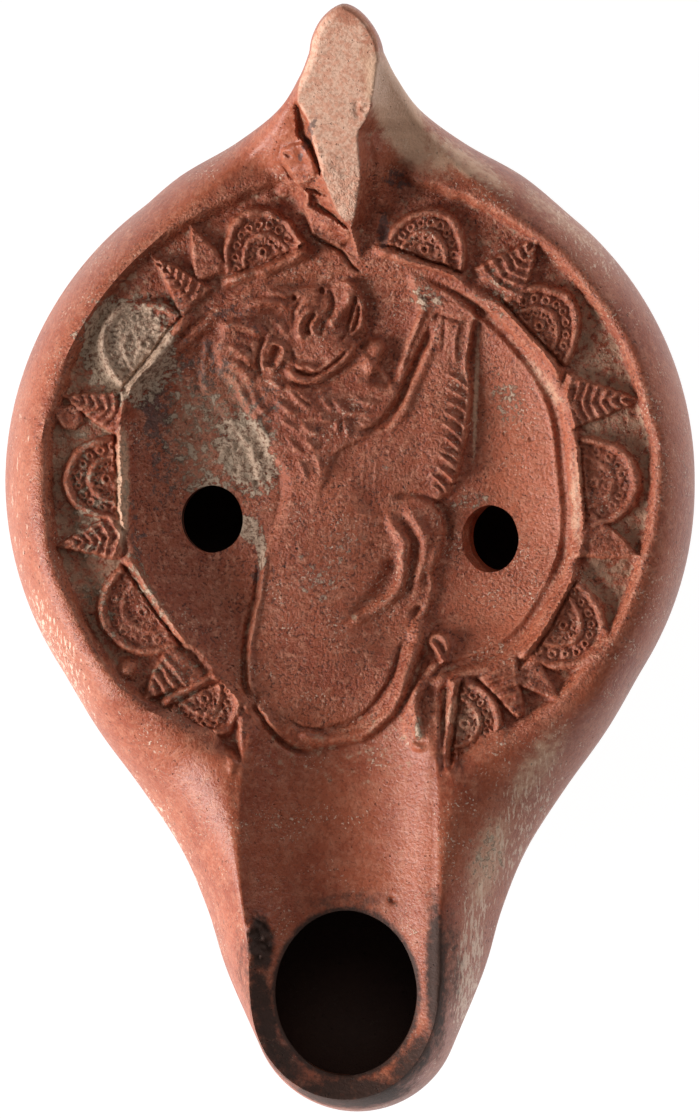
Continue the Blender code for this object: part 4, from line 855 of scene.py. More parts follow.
def plan_outline(count):
    """The closed plan outline, counter-clockwise from the nozzle tip, with closer points at the ends."""
    right = half_outline()[::-1]
    left = (right * (-1.0, 1.0))[::-1]
    loop = np.vstack([right, left[1:-1]])
    loop[:, 0] += centre_x(loop[:, 1])
    closed = np.vstack([loop, loop[:1]])
    length = np.hypot(*np.diff(closed, axis=0).T)
    middle_y = 0.5 * (closed[:-1, 1] + closed[1:, 1])
    crowding = 1.0 + 1.4 * smoothstep(44.0, 56.0, middle_y) + 0.7 * smoothstep(-50.0, -58.0, middle_y)
    travelled = np.concatenate([[0.0], np.cumsum(length * crowding)])
    stops = np.arange(count) / count * travelled[-1]
    return np.column_stack([np.interp(stops, travelled, closed[:, 0]),
                            np.interp(stops, travelled, closed[:, 1])])


def edge_width(outline):
    """How far in from each outline point the rim reaches its full height."""
    x, y = outline.T
    width = np.where(y < -10.0, np.maximum(EDGE_BODY, EDGE_NOZZLE * smoothstep(-8.0, -36.0, y)), EDGE_BODY)
    width = np.minimum(width, channel_distance(x, y) - CREST_WIDTH)
    return width + (EDGE_HANDLE - width) * smoothstep(46.0, 59.0, y)


def inward_loop(outline, width):
    """The outline moved inward by a width of its own at each point."""
    along = np.roll(outline, -1, axis=0) - np.roll(outline, 1, axis=0)
    along /= np.hypot(along[:, 0], along[:, 1])[:, None]
    inward = np.column_stack([-along[:, 1], along[:, 0]])
    return outline + inward * np.reshape(width, (-1, 1))


def parting_height(outline):
    """Height of the mould parting line: level round the body and rising to the handle tip."""
    x, y = outline.T
    on_left = x < centre_x(y)
    high = facet_height(x, y) - np.where(on_left, *PARTING_BELOW_FACET)
    reach = np.where(on_left, smoothstep(48.5, 58.5, y), smoothstep(49.5, 64.0, y))
    return PARTING_Z + (high - PARTING_Z) * reach


def lower_radius(outline, part):
    """Plan radius of the lower side at a part of the way up from the foot ring to the parting line."""
    rays = outline - (0.0, BODY_CENTRE_Y)
    reach = np.hypot(rays[:, 0], rays[:, 1])
    behind = smoothstep(BODY_RADIUS + 0.3, BODY_RADIUS + 7.0, reach) * (rays[:, 1] > 0)
    bulge = BODY_BULGE + (HANDLE_BULGE - BODY_BULGE) * behind
    swell = (1.0 - (1.0 - part) ** bulge) ** (1.0 / bulge)
    radius = FOOT_RADIUS + (reach - FOOT_RADIUS) * swell
    z = FOOT_TOP_Z + part * (parting_height(outline) - FOOT_TOP_Z)
    level = np.clip((z - FOOT_TOP_Z) / (PARTING_Z - FOOT_TOP_Z), 0.0, 1.0)
    body = FOOT_RADIUS + (BODY_RADIUS - FOOT_RADIUS) * np.sqrt(1.0 - (1.0 - level) ** 2)
    aside = np.abs(rays[:, 0] / reach) * body
    rib = RIB_HEIGHT * bump(aside, RIB_HALF_WIDTH) * (rays[:, 1] > 0)
    return np.maximum(radius, (body + rib) * (rays[:, 1] > 0)) if part < 1.0 else reach


class Skin:
    """Points and faces of the lamp's whole surface, gathered piece by piece."""

    def __init__(self):
        self.points = []
        self.faces = []
        self.count = 0

    def add(self, points):
        """Add points and give back their numbers."""
        self.points.append(np.asarray(points, dtype=float))
        self.count += len(points)
        return np.arange(self.count - len(points), self.count)

    def join(self, lower, upper):
        """Join two closed rings of point numbers with a strip of faces."""
        for index in range(len(lower)):
            beside = (index + 1) % len(lower)
            self.faces.append((lower[index], lower[beside], upper[beside], upper[index]))

    def fill(self, loops, inner_points, height, upward):
        """Fill the plan between an outer ring and hole rings with triangles through inner points."""
        inner = self.add(np.column_stack([inner_points, height(*inner_points.T)]))
        numbers = np.concatenate([*loops, inner])
        plan = np.vstack(self.points)[numbers][:, :2]
        edges = []
        start = 0
        for loop in loops:
            edges += [(start + index, start + (index + 1) % len(loop)) for index in range(len(loop))]
            start += len(loop)
        plan = [Vector(point) for point in plan]
        _, _, triangles, origins, _, _ = delaunay_2d_cdt(plan, edges, [], 1, 1e-6)
        names = np.array([numbers[origin[0]] for origin in origins])
        corners = names[np.array(triangles)]
        middles = np.vstack(self.points)[corners][:, :, :2].mean(axis=1)
        keep = np.ones(len(corners), dtype=bool)
        for loop in loops[1:]:
            keep &= ~inside_loop(*middles.T, np.vstack(self.points)[loop][:, :2])
        for corner in corners[keep]:
            self.faces.append(tuple(corner) if upward else tuple(corner[::-1]))


def hole_ring(centre, radii, count, waver):
    """The plan ring of a hole, a little uneven where waver is above 0."""
    turns = 2.0 * math.pi * np.arange(count) / count
    reach = 1.0 + waver * (noise(3.0 * np.cos(turns), 3.0 * np.sin(turns), 1.1, 31))
    return np.column_stack([radii[0] * np.cos(turns) * reach, radii[1] * np.sin(turns) * reach]) + centre


def blurred(field, reach):
    """A field averaged over squares that reach a number of cells to each side."""
    size = 2 * reach + 1
    for axis in (0, 1):
        padding = [(0, 0), (0, 0)]
        padding[axis] = (reach + 1, reach)
        total = np.cumsum(np.pad(field, padding, mode="edge"), axis=axis)
        count = total.shape[axis]
        after = np.take(total, range(size, count), axis)
        field = (after - np.take(total, range(count - size), axis)) / size
    return field


class Raster:
    """Heights of the carved side on a fine square raster."""

    def __init__(self, loop):
        margin = CARVING_GAPS[1] + 2.0 * RASTER_STEP
        self.low = loop.min(axis=0) - margin
        high = loop.max(axis=0) + margin
        self.x, self.y = np.meshgrid(np.arange(self.low[0], high[0], RASTER_STEP),
                                     np.arange(self.low[1], high[1], RASTER_STEP))
        self.z = upper_height(self.x, self.y)

    def bend(self):
        """How sharply the surface curves at each place."""
        rise_y, rise_x = np.gradient(self.z, RASTER_STEP)
        bend_xy, bend_x = np.gradient(rise_x, RASTER_STEP)
        bend_y = np.gradient(rise_y, RASTER_STEP)[0]
        return np.sqrt(bend_x ** 2 + 2.0 * bend_xy ** 2 + bend_y ** 2)

    def recess(self, reach):
        """How far each place lies below the average of its surroundings."""
        return blurred(self.z, int(reach / RASTER_STEP)) - self.z

    def sample(self, field, x, y):
        """Values of a raster field at some plan points."""
        column = np.clip(((x - self.low[0]) / RASTER_STEP).round().astype(int), 0, field.shape[1] - 1)
        row = np.clip(((y - self.low[1]) / RASTER_STEP).round().astype(int), 0, field.shape[0] - 1)
        return field[row, column]


def carving_points(raster, loop, holes):
    """Plan points for the carved side: close along its creases and far apart where it is even."""
    shortest, longest = CARVING_GAPS
    gap = np.clip(np.sqrt(8.0 * CARVING_TOLERANCE / np.maximum(raster.bend(), 1e-6)), shortest, longest)
    taken = loop_distance(raster.x, raster.y, loop) > -0.2
    for centre, radii in holes:
        taken |= oval_distance(raster.x, raster.y, centre, radii) < 0.25
    chosen = []
    columns = gap.shape[1]
    discs = {}
    for place in np.argsort(gap, axis=None, kind="stable"):
        row, column = divmod(int(place), columns)
        if taken[row, column]:
            continue
        chosen.append((raster.x[row, column], raster.y[row, column]))
        reach = int(round(gap[row, column] / RASTER_STEP))
        if reach not in discs:
            span = np.arange(-reach, reach + 1)
            discs[reach] = span[:, None] ** 2 + span ** 2 <= reach * reach
        taken[row - reach:row + reach + 1, column - reach:column + reach + 1] |= discs[reach]
    return np.array(chosen)


def chamber_reach(angles):
    """How far the oil chamber reaches from the body centre in some directions."""
    outline = plan_outline(8 * CHAMBER_POINTS)
    rays = outline - (0.0, BODY_CENTRE_Y)
    known = np.unwrap(np.arctan2(rays[:, 1], rays[:, 0]))
    reach = np.hypot(rays[:, 0], rays[:, 1])
    reach = np.where(rays[:, 1] > 0, np.minimum(reach, BODY_RADIUS), reach) - WALL
    angles = known[0] + np.mod(angles - known[0], 2.0 * math.pi)
    return np.interp(angles, np.append(known, known[0] + 2.0 * math.pi), np.append(reach, reach[0]))


def chamber_roof(x, y):
    """Ceiling of the oil chamber: one wall under the carved side, curving down to its edge."""
    from_band_centre = np.hypot(x - BAND_CENTRE[0], y - BAND_CENTRE[1])
    under_band = smoothstep(26.0, 34.0, from_band_centre)
    roof = DISCUS_Z - WALL + (BAND_Z - DISCUS_Z - 0.5) * under_band * smoothstep(-26.0, -16.0, y)
    part = np.hypot(x, y - BODY_CENTRE_Y) / chamber_reach(np.arctan2(y - BODY_CENTRE_Y, x))
    return PARTING_Z + (roof - PARTING_Z) * np.sqrt(np.clip(1.0 - part ** 6, 0.0, 1.0))


def outer_skin(skin, outline):
    """The underside, the foot ring, the flanks and the rounded edge; gives back the inner rim ring."""
    parting = parting_height(outline)
    inner = inward_loop(outline, edge_width(outline))
    rays = outline - (0.0, BODY_CENTRE_Y)
    rays /= np.hypot(rays[:, 0], rays[:, 1])[:, None]

    def ring(radius, z):
        place = rays * np.reshape(radius, (-1, 1)) + (0.0, BODY_CENTRE_Y)
        return skin.add(np.column_stack([place, np.broadcast_to(z, (len(outline),))]))

    rings = []
    profile = ((0.3 * BASE_RING_RADIUS, BASE_Z), (BASE_RING_RADIUS - 0.8, BASE_Z),
               (BASE_RING_RADIUS - 0.3, BASE_Z - 0.4), (BASE_RING_RADIUS + 0.3, BASE_Z - 0.4),
               (BASE_RING_RADIUS + 0.8, BASE_Z), (FOOT_INNER_RADIUS - 0.3, BASE_Z),
               (FOOT_INNER_RADIUS + 0.3, BASE_Z - 0.6), (FOOT_LAND_INNER, 0.1),
               (FOOT_LAND_INNER + 0.3, 0.0), (FOOT_LAND_OUTER - 0.3, 0.0), (FOOT_LAND_OUTER, 0.1),
               (FOOT_RADIUS - 0.1, FOOT_TOP_Z - 0.7))
    for radius, z in profile:
        rings.append(ring(radius, z))
    for step in range(LOWER_STEPS + 1):
        part = min(1.0, 1.0 - math.cos(0.5 * math.pi * step / LOWER_STEPS))
        rings.append(ring(lower_radius(outline, part), FOOT_TOP_Z + part * (parting - FOOT_TOP_Z)))
    along_nozzle = smoothstep(-22.0, -46.0, outline[:, 1])
    fullness = FULLNESS_BODY + (FULLNESS_NOZZLE - FULLNESS_BODY) * along_nozzle
    for step in range(1, EDGE_STEPS + 1):
        turn = 0.5 * math.pi * step / EDGE_STEPS
        inward = 1.0 - max(math.cos(turn), 0.0) ** (2.0 / fullness)
        place = outline + (inner - outline) * inward[:, None]
        target = upper_height(*place.T)
        z = parting + (target - parting) * math.sin(turn) ** (2.0 / fullness)
        rings.append(skin.add(np.column_stack([place, z])))
    for lower, upper in zip(rings[:-1], rings[1:]):
        skin.join(lower, upper)
    middle = skin.add([(0.0, BODY_CENTRE_Y, BASE_Z)])[0]
    for index in range(len(outline)):
        skin.faces.append((middle, rings[0][(index + 1) % len(outline)], rings[0][index]))
    return rings[-1], inner


def build_skin():
    """The whole surface of the lamp, outside and inside, with its three holes through the wall."""
    skin = Skin()
    rim, inner = outer_skin(skin, plan_outline(OUTLINE_POINTS))
    holes = ((WICK_HOLE, WICK_HOLE_RADII), (LEFT_HOLE, LEFT_HOLE_RADII), (RIGHT_HOLE, RIGHT_HOLE_RADII))
    counts = (WICK_POINTS, FILLING_POINTS, FILLING_POINTS)
    wavers = (0.006, 0.012, 0.012)
    mouths = []
    throats = []
    for (centre, radii), count, waver, lean in zip(holes, counts, wavers, HOLE_LEANS):
        top = hole_ring(centre, radii, count, waver)
        top_z = upper_height(*top.T)
        bottom_z = chamber_roof(*(top + lean).T)
        rings = []
        for step in range(HOLE_STEPS + 1):
            part = step / HOLE_STEPS
            place = top + np.multiply(lean, part)
            rings.append(skin.add(np.column_stack([place, top_z + (bottom_z - top_z) * part])))
        for upper, lower in zip(rings[:-1], rings[1:]):
            skin.join(lower, upper)
            skin.faces[-count:] = [face[::-1] for face in skin.faces[-count:]]
        mouths.append(rings[0])
        throats.append(rings[-1])
    raster = Raster(inner)
    crowd = carving_points(raster, inner, holes)
    skin.fill([rim, *mouths], crowd, upper_height, True)
    outside_points = skin.count

    turns = 2.0 * math.pi * np.arange(CHAMBER_POINTS) / CHAMBER_POINTS
    heading = np.column_stack([np.cos(turns), np.sin(turns)])
    reach = chamber_reach(turns)
    middle = skin.add([(0.0, BODY_CENTRE_Y, CHAMBER_FLOOR_Z)])[0]
    bowl = []
    for step in range(1, CHAMBER_STEPS + 1):
        turn = 0.5 * math.pi * step / CHAMBER_STEPS
        z = CHAMBER_FLOOR_Z + (PARTING_Z - CHAMBER_FLOOR_Z) * (1.0 - math.cos(turn))
        near_floor = FOOT_RADIUS * min(1.0, 1.6 * step / CHAMBER_STEPS) * (1.0 - math.sin(turn))
        reached = near_floor + reach * math.sin(turn)
        place = heading * reached[:, None] + (0.0, BODY_CENTRE_Y)
        bowl.append(skin.add(np.column_stack([place, np.full(CHAMBER_POINTS, z)])))
    for lower, upper in zip(bowl[:-1], bowl[1:]):
        skin.join(lower, upper)
        skin.faces[-CHAMBER_POINTS:] = [face[::-1] for face in skin.faces[-CHAMBER_POINTS:]]
    for index in range(CHAMBER_POINTS):
        skin.faces.append((middle, bowl[0][index], bowl[0][(index + 1) % CHAMBER_POINTS]))
    edge = np.vstack(skin.points)[bowl[-1]][:, :2]
    near_edge = (edge - (0.0, BODY_CENTRE_Y)) * 0.97 + (0.0, BODY_CENTRE_Y)
    x, y = np.meshgrid(np.arange(-50.0, 50.0, ROOF_GAP), np.arange(-70.0, 60.0, ROOF_GAP))
    grid = np.column_stack([x.ravel(), y.ravel()])
    grid = grid[loop_distance(*grid.T, edge) < -1.8]
    for (centre, radii), lean in zip(holes, HOLE_LEANS):
        inner_centre = np.add(centre, lean)
        grid = grid[oval_distance(*grid.T, inner_centre, radii) > 0.5]
        near_edge = near_edge[oval_distance(*near_edge.T, inner_centre, radii) > 0.5]
    skin.fill([bowl[-1], *throats], np.vstack([near_edge, grid]), chamber_roof, False)
    return skin, raster, outside_points


# Stains, and painted light and shade: centre, radii, turn in degrees, strength.
DEPOSIT_PATCHES = (
    (-13.2, 13.4, 4.4, 6.6, 20.0, 1.05), (-16.0, 14.0, 9.5, 12.0, 20.0, 0.5),
    (-28.0, 26.5, 6.4, 7.4, 30.0, 1.35), (-28.6, 9.5, 1.0, 8.5, 0.0, 0.5),
    (-25.0, 31.0, 5.0, 3.6, 20.0, 0.6), (-21.5, 19.5, 4.0, 6.0, 0.0, 0.45),
    (-33.0, 8.0, 3.4, 12.0, 0.0, 0.5), (-31.0, -6.0, 3.0, 8.0, 20.0, 0.42),
    (-22.0, -15.0, 6.0, 6.0, 40.0, 0.36), (-12.6, 3.8, 1.5, 2.6, 20.0, 1.0),
    (-11.2, 1.2, 0.8, 3.2, 4.0, 1.0), (-17.5, 9.6, 4.2, 1.2, 0.0, 0.7),
    (8.6, -21.6, 0.6, 1.8, 0.0, 0.8), (9.5, 33.0, 2.6, 2.2, -40.0, 0.6),
    (-4.2, -2.5, 3.4, 5.0, 20.0, 0.42), (3.2, 11.0, 2.2, 3.4, 0.0, 0.36),
    (20.0, 20.0, 2.4, 5.0, 20.0, 0.5), (18.5, 33.5, 5.0, 3.0, -40.0, 0.4),
    (-1.0, 1.5, 3.0, 4.0, 0.0, 0.36), (15.5, 7.2, 3.4, 1.6, 10.0, 0.5),
    (-26.0, -3.0, 1.4, 8.0, 26.0, 0.5), (17.4, -37.5, 2.6, 5.0, -12.0, 0.5))
DUST_PATCHES = (
    (6.0, 56.5, 3.2, 9.0, 26.0, 1.2), (9.5, 52.0, 5.5, 3.0, -35.0, 0.8),
    (14.0, 50.5, 9.0, 1.8, -32.0, 0.75), (27.0, 43.0, 9.0, 1.8, -36.0, 0.5),
    (-28.7, 9.0, 1.0, 9.0, 0.0, 1.0), (-25.4, -3.6, 0.7, 8.0, 31.0, 0.45),
    (15.9, 20.0, 0.35, 10.0, -2.0, 0.9), (17.5, -38.0, 2.6, 7.0, -14.0, 0.75),
    (23.5, -26.0, 2.4, 7.0, -35.0, 0.6), (-17.0, 16.0, 9.0, 12.0, 0.0, 0.45),
    (8.8, -21.4, 0.7, 2.2, 0.0, 0.5), (0.5, -7.3, 0.5, 0.5, 0.0, 1.0),
    (14.5, -20.0, 4.0, 4.0, 0.0, 0.4), (28.5, 8.0, 1.0, 8.0, 0.0, 0.5),
    (24.5, 22.5, 1.0, 5.0, 40.0, 0.5))
# Stains on the discus, and painted shade in the hollows at the handle's right foot and in the torn gap
# left of the facet.
STAIN_AND_SHADE_PATCHES = (
    (-23.5, 13.0, 4.0, 9.0, 10.0, 0.5), (-18.5, 24.0, 4.4, 6.0, 20.0, 0.55),
    (-11.6, -2.2, 1.0, 1.8, 0.0, 0.6), (-12.0, 19.0, 4.0, 5.0, 0.0, 0.5),
    (-15.0, 9.6, 6.0, 4.0, 0.0, 0.45), (-24.5, 19.0, 2.6, 5.0, 0.0, 0.85),
    (-27.0, 3.0, 1.6, 6.0, 10.0, 0.5), (4.2, 41.5, 0.9, 3.0, 0.0, 0.9),
    (6.0, 47.8, 2.2, 1.8, -30.0, 0.6), (-5.3, 53.2, 0.7, 4.2, -20.0, 0.8),
    (-14.0, 30.0, 5.0, 4.0, 0.0, 0.4))
# Painted light: brighter clay on the lit right side of the discus and of the channel, where the grain is
# also thinner.
PAINTED_LIGHT_PATCHES = (
    (22.5, 12.0, 6.0, 15.0, 4.0, 0.9), (18.0, -8.0, 6.0, 8.0, 30.0, 0.6),
    (8.6, -36.0, 3.0, 12.0, 0.0, 0.35))
SOOT_PATCHES = (
    (-11.3, -48.4, 1.9, 4.4, 5.0, 0.95), (10.9, -52.5, 1.6, 12.0, 1.0, 0.85),
    (-10.9, -57.0, 1.9, 7.5, 12.0, 0.85), (0.0, -67.4, 10.5, 3.0, 0.0, 0.82),
    (8.0, -63.2, 2.2, 5.6, -38.0, 0.78), (-8.6, -63.0, 2.2, 5.4, 38.0, 0.76),
    (12.6, -50.5, 2.2, 9.0, 3.0, 0.5), (-13.4, -52.0, 1.4, 7.0, 6.0, 0.4),
    (0.0, -43.0, 8.0, 1.6, 0.0, 0.42))
# Painted shade on the facet in a redder clay colour: its rounded tip, its edges and its right third; and
# an orange spot.
FACET_SHADE_AND_SPOT_PATCHES = (
    (0.6, 68.6, 4.2, 1.4, 0.0, 0.9), (2.4, 63.0, 1.5, 6.0, 0.0, 0.75),
    (-0.6, 68.3, 0.7, 1.2, 0.0, 1.0), (3.2, 66.2, 1.2, 3.6, 20.0, 0.9),
    (-4.6, 66.5, 0.6, 3.4, -20.0, 0.6), (1.2, 56.4, 0.9, 1.8, 0.0, 0.6))
# Scuffs and painted sheen: white scratch streaks, and flanks paled overall where the slip shines in
# grazing light.
SCUFF_AND_SHEEN_PATCHES = (
    (-41.8, 6.0, 1.8, 26.0, 0.0, 0.55), (-36.5, -12.0, 2.6, 14.0, 24.0, 0.8),
    (-23.5, -38.0, 4.0, 16.0, 24.0, 0.9), (21.5, -33.0, 4.5, 16.0, -26.0, 0.8),
    (15.2, -50.0, 2.2, 14.0, -8.0, 1.0), (30.0, 40.0, 3.0, 12.0, 42.0, 0.7),
    (-30.0, 41.0, 3.0, 10.0, -42.0, 0.5), (40.5, 10.0, 1.6, 22.0, 0.0, 0.4))


def stain(x, y, patches):
    """Strength of soft-edged oval patches, the strongest at each place."""
    strength = np.zeros(np.shape(x))
    for centre_x, centre_y, radius_x, radius_y, turn, most in patches:
        angle = math.radians(turn)
        across = ((x - centre_x) * math.cos(angle) + (y - centre_y) * math.sin(angle)) / radius_x
        along = ((y - centre_y) * math.cos(angle) - (x - centre_x) * math.sin(angle)) / radius_y
        strength = np.maximum(strength, most * smoothstep(1.35, 0.35, np.hypot(across, along)))
    return strength


def surface_masks(points, raster, outside_points):
    """Where the surface is hollow, worn, crusted, stained or sooty, and where painted light, sheen and
    shade lie, from 0 to 1 at each point.
    """
    x, y, z = points.T
    on_top = (z > PARTING_Z + 4.0) & (np.arange(len(x)) < outside_points)
    below_top = raster.sample(raster.z, x, y) - z
    on_face = on_top * smoothstep(2.2, 0.7, below_top)
    above_parting = smoothstep(PARTING_Z + 0.5, PARTING_Z + 7.0, z)
    from_band_centre = np.hypot(x - BAND_CENTRE[0], y - BAND_CENTRE[1])
    # Painted light on the lit right side; the same patches also thin the grain there.
    painted_light_and_smooth = stain(x, y, PAINTED_LIGHT_PATCHES)
    coarse = smoothstep(41.0, 38.0, from_band_centre) * smoothstep(-26.0, -18.0, y)
    coarse = coarse * (1.0 - 0.75 * painted_light_and_smooth)
    hollow = np.clip(raster.sample(raster.recess(1.6), x, y) / 0.7, 0.0, 1.0)
    # Painted shade: fine creases, darkened in colour below.
    painted_crease_shade = np.clip(raster.sample(raster.recess(0.4), x, y) / 0.14, 0.0, 1.0)
    edge = np.clip(-raster.sample(raster.recess(0.5), x, y) / 0.2, 0.0, 1.0) * coarse
    in_band = smoothstep(BAND_RADIUS + 0.3, BAND_RADIUS - 0.3, from_band_centre)
    in_band = in_band * smoothstep(0.8, 1.6, discus_distance(x, y))
    silt = in_band * smoothstep(BAND_Z + 0.6, BAND_Z + 0.15, z)
    silt = silt * (0.55 + 0.45 * smoothstep(24.0, 31.0, np.abs(x)))
    # Real soot round the wick hole; painted shade: the hole walls and the whole chamber inside are marked
    # full soot as well.
    in_wick_hole = (oval_distance(x, y, WICK_HOLE, WICK_HOLE_RADII) < 0.0) & (z > PARTING_Z - 0.1)
    inside = (np.arange(len(x)) >= outside_points) | in_wick_hole
    inside |= (oval_distance(x, y, LEFT_HOLE, LEFT_HOLE_RADII) < -0.1) & on_top
    round_wick = oval_distance(x, y, WICK_HOLE, WICK_HOLE_RADII)
    soot_and_hole_shade = np.maximum(stain(x, y, SOOT_PATCHES), 0.8 * smoothstep(1.3, 0.0, round_wick)) * above_parting
    # Painted shade on the facet's tip, edges and right third, and an orange spot.
    tip = stain(x, y, FACET_SHADE_AND_SPOT_PATCHES) * on_face
    bare = smoothstep(-0.35, 0.35, np.minimum(x - np.interp(y, *np.array(FACET_LEFT).T),
                                               np.interp(y, *np.array(FACET_RIGHT).T) - x))
    masks = {"bare": bare * smoothstep(42.0, 43.5, y) * on_face, "tip": tip,
             "scuff_and_sheen": stain(x, y, SCUFF_AND_SHEEN_PATCHES) * (z > 12.0), "soot_and_hole_shade": np.maximum(soot_and_hole_shade, inside * 1.0),
             "dust": stain(x, y, DUST_PATCHES) * above_parting,
             "deposit": stain(x, y, DEPOSIT_PATCHES) * (z > PARTING_Z - 2.0)}
    top_masks = {"coarse": coarse, "hollow": hollow, "painted_crease_shade": painted_crease_shade, "edge": edge, "silt": silt,
                 "stain_and_shade": stain(x, y, STAIN_AND_SHADE_PATCHES), "painted_light_and_smooth": painted_light_and_smooth}
    for name, mask in top_masks.items():
        masks[name] = mask * on_top
    return masks


def lamp_object():
    """The lamp as one closed mesh object."""
    skin, raster, outside_points = build_skin()
    points = np.vstack(skin.points)
    mesh = bpy.data.meshes.new("lamp_clay")
    mesh.from_pydata([tuple(point) for point in points * MM], [], skin.faces)
    for name, values in surface_masks(points, raster, outside_points).items():
        attribute = mesh.attributes.new(name, "FLOAT", "POINT")
        attribute.data.foreach_set("value", values.astype(np.float32))
    mesh.validate()
    obj = bpy.data.objects.new("lamp_clay", mesh)
    bpy.context.collection.objects.link(obj)
    mesh.shade_smooth()
    mesh.set_sharp_from_angle(angle=math.radians(60.0))
    return obj


# ---- Looks ----------------------------------------------------------------------------------
CLAY = (0.43, 0.108, 0.05)
CLAY_DEEP = (0.34, 0.074, 0.034)
CLAY_WORN = (0.5, 0.17, 0.095)
# Grain colour, also used as painted shade in the creases.
CLAY_GRAIN_AND_SHADE = (0.13, 0.032, 0.018)
CLAY_RUBBED = (0.6, 0.235, 0.14)
# Paler clay: painted sheen on the flanks.
CLAY_SCUFF_AND_SHEEN = (0.55, 0.24, 0.16)
BARE_CLAY = (0.74, 0.46, 0.33)
BARE_PINK = (0.66, 0.33, 0.22)
# Redder clay: painted shade on the facet's tip, edges and right third, and an orange spot.
BARE_RED_AND_SHADE = (0.5, 0.2, 0.12)
BARE_DARK = (0.34, 0.15, 0.09)
# Brighter clay: painted light on the lit side.
CLAY_PAINTED_LIGHT = (0.55, 0.15, 0.075)
EARTH = (0.5, 0.31, 0.2)
DUST = (0.84, 0.55, 0.37)
CRUST = (0.62, 0.46, 0.33)
CRUST_DARK = (0.24, 0.155, 0.1)
# Stain colour, also used as painted shade in hollows beside the handle.
DARK_STAIN_AND_SHADE = (0.1, 0.06, 0.055)
PALE_SPECK = (0.8, 0.56, 0.42)
PIT = (0.05, 0.018, 0.013)
# Soot colour, also painted shade inside the holes and the chamber.
SOOT_AND_HOLE_SHADE = (0.04, 0.023, 0.017)
ROUGHNESS = 0.4
SPECULAR = 0.35
BUMP_DEPTH = 0.36
# How often the scuffs repeat along X, Y and Z.
STREAK_SHAPE = (3.2, 0.42, 1.0)

FLOOR_HALF_WIDTH = 3.0
FLOOR_GREY = 0.12
FLOOR_GLOW = 0.97
SURROUNDINGS = 0.12
# A long lens over the lamp; the field and the level of its middle are in millimetres.
CAMERA_LENS = 850.0
SENSOR = 36.0
FIELD = 141.52
CAMERA_LEVEL = 26.0
# Lights: name, direction and height in degrees, distance, size, power.
LIGHTS = (
    ("key", 199.0, 18.0, 1.2, 0.45, 21.5),
    ("fill", 33.0, 19.0, 1.5, 0.7, 4.8),
    ("top", 90.0, 60.0, 1.5, 0.8, 1.5))


class Nodes:
    """Builds the nodes of one material."""

    def __init__(self, name):
        self.material = bpy.data.materials.new(name)
        self.material.use_nodes = True
        self.tree = self.material.node_tree
        self.shader = self.tree.nodes["Principled BSDF"]

    def add(self, kind, inputs, **settings):
        """Add a node, with each input given as a socket or a plain value."""
        made = self.tree.nodes.new(kind)
        for name, value in settings.items():
            setattr(made, name, value)
        for name, value in inputs.items():
            self.feed(made.inputs[name], value)
        return made

    def feed(self, socket, value):
        """Link a socket into an input, or set its plain value."""
        if isinstance(value, bpy.types.NodeSocket):
            self.tree.links.new(value, socket)
        else:
            socket.default_value = value

    def math(self, operation, first, second):
        """One arithmetic step."""
        return self.add("ShaderNodeMath", {0: first, 1: second}, operation=operation).outputs[0]

    def ramp(self, value, low, high):
        """0 below low, 1 above high, smooth between; low may be the larger."""
        inputs = {"Value": value, "From Min": low, "From Max": high}
        return self.add("ShaderNodeMapRange", inputs, interpolation_type="SMOOTHSTEP").outputs["Result"]

    def mix(self, part, first, second):
        """Mix two colours."""
        made = self.add("ShaderNodeMix", {0: part}, data_type="RGBA")
        colours = [socket for socket in made.inputs if socket.type == "RGBA"]
        for socket, value in zip(colours, (first, second)):
            self.feed(socket, value if isinstance(value, bpy.types.NodeSocket) else (*value, 1.0))
        return [socket for socket in made.outputs if socket.type == "RGBA"][0]

    def cover(self, colour, mask, share, top):
        """Lay a colour over another where a mask is, by a share of it."""
        return self.mix(self.math("MULTIPLY", mask, share), colour, top)

    def noise(self, place, size, detail, roughness=0.55):
        """Cloudy noise with features of a size in millimetres."""
        inputs = {"Vector": place, "Scale": 1.0 / size, "Detail": detail, "Roughness": roughness}
        return self.add("ShaderNodeTexNoise", inputs).outputs["Fac"]

    def patchy(self, mask, cloud, amount, low, high):
        """A mask broken up by a cloudy noise."""
        shift = self.math("MULTIPLY", self.math("SUBTRACT", cloud, 0.5), amount)
        return self.ramp(self.math("ADD", mask, shift), low, high)

    def attribute(self, name):
        """A mask kept on the mesh."""
        return self.add("ShaderNodeAttribute", {}, attribute_name=name).outputs["Fac"]


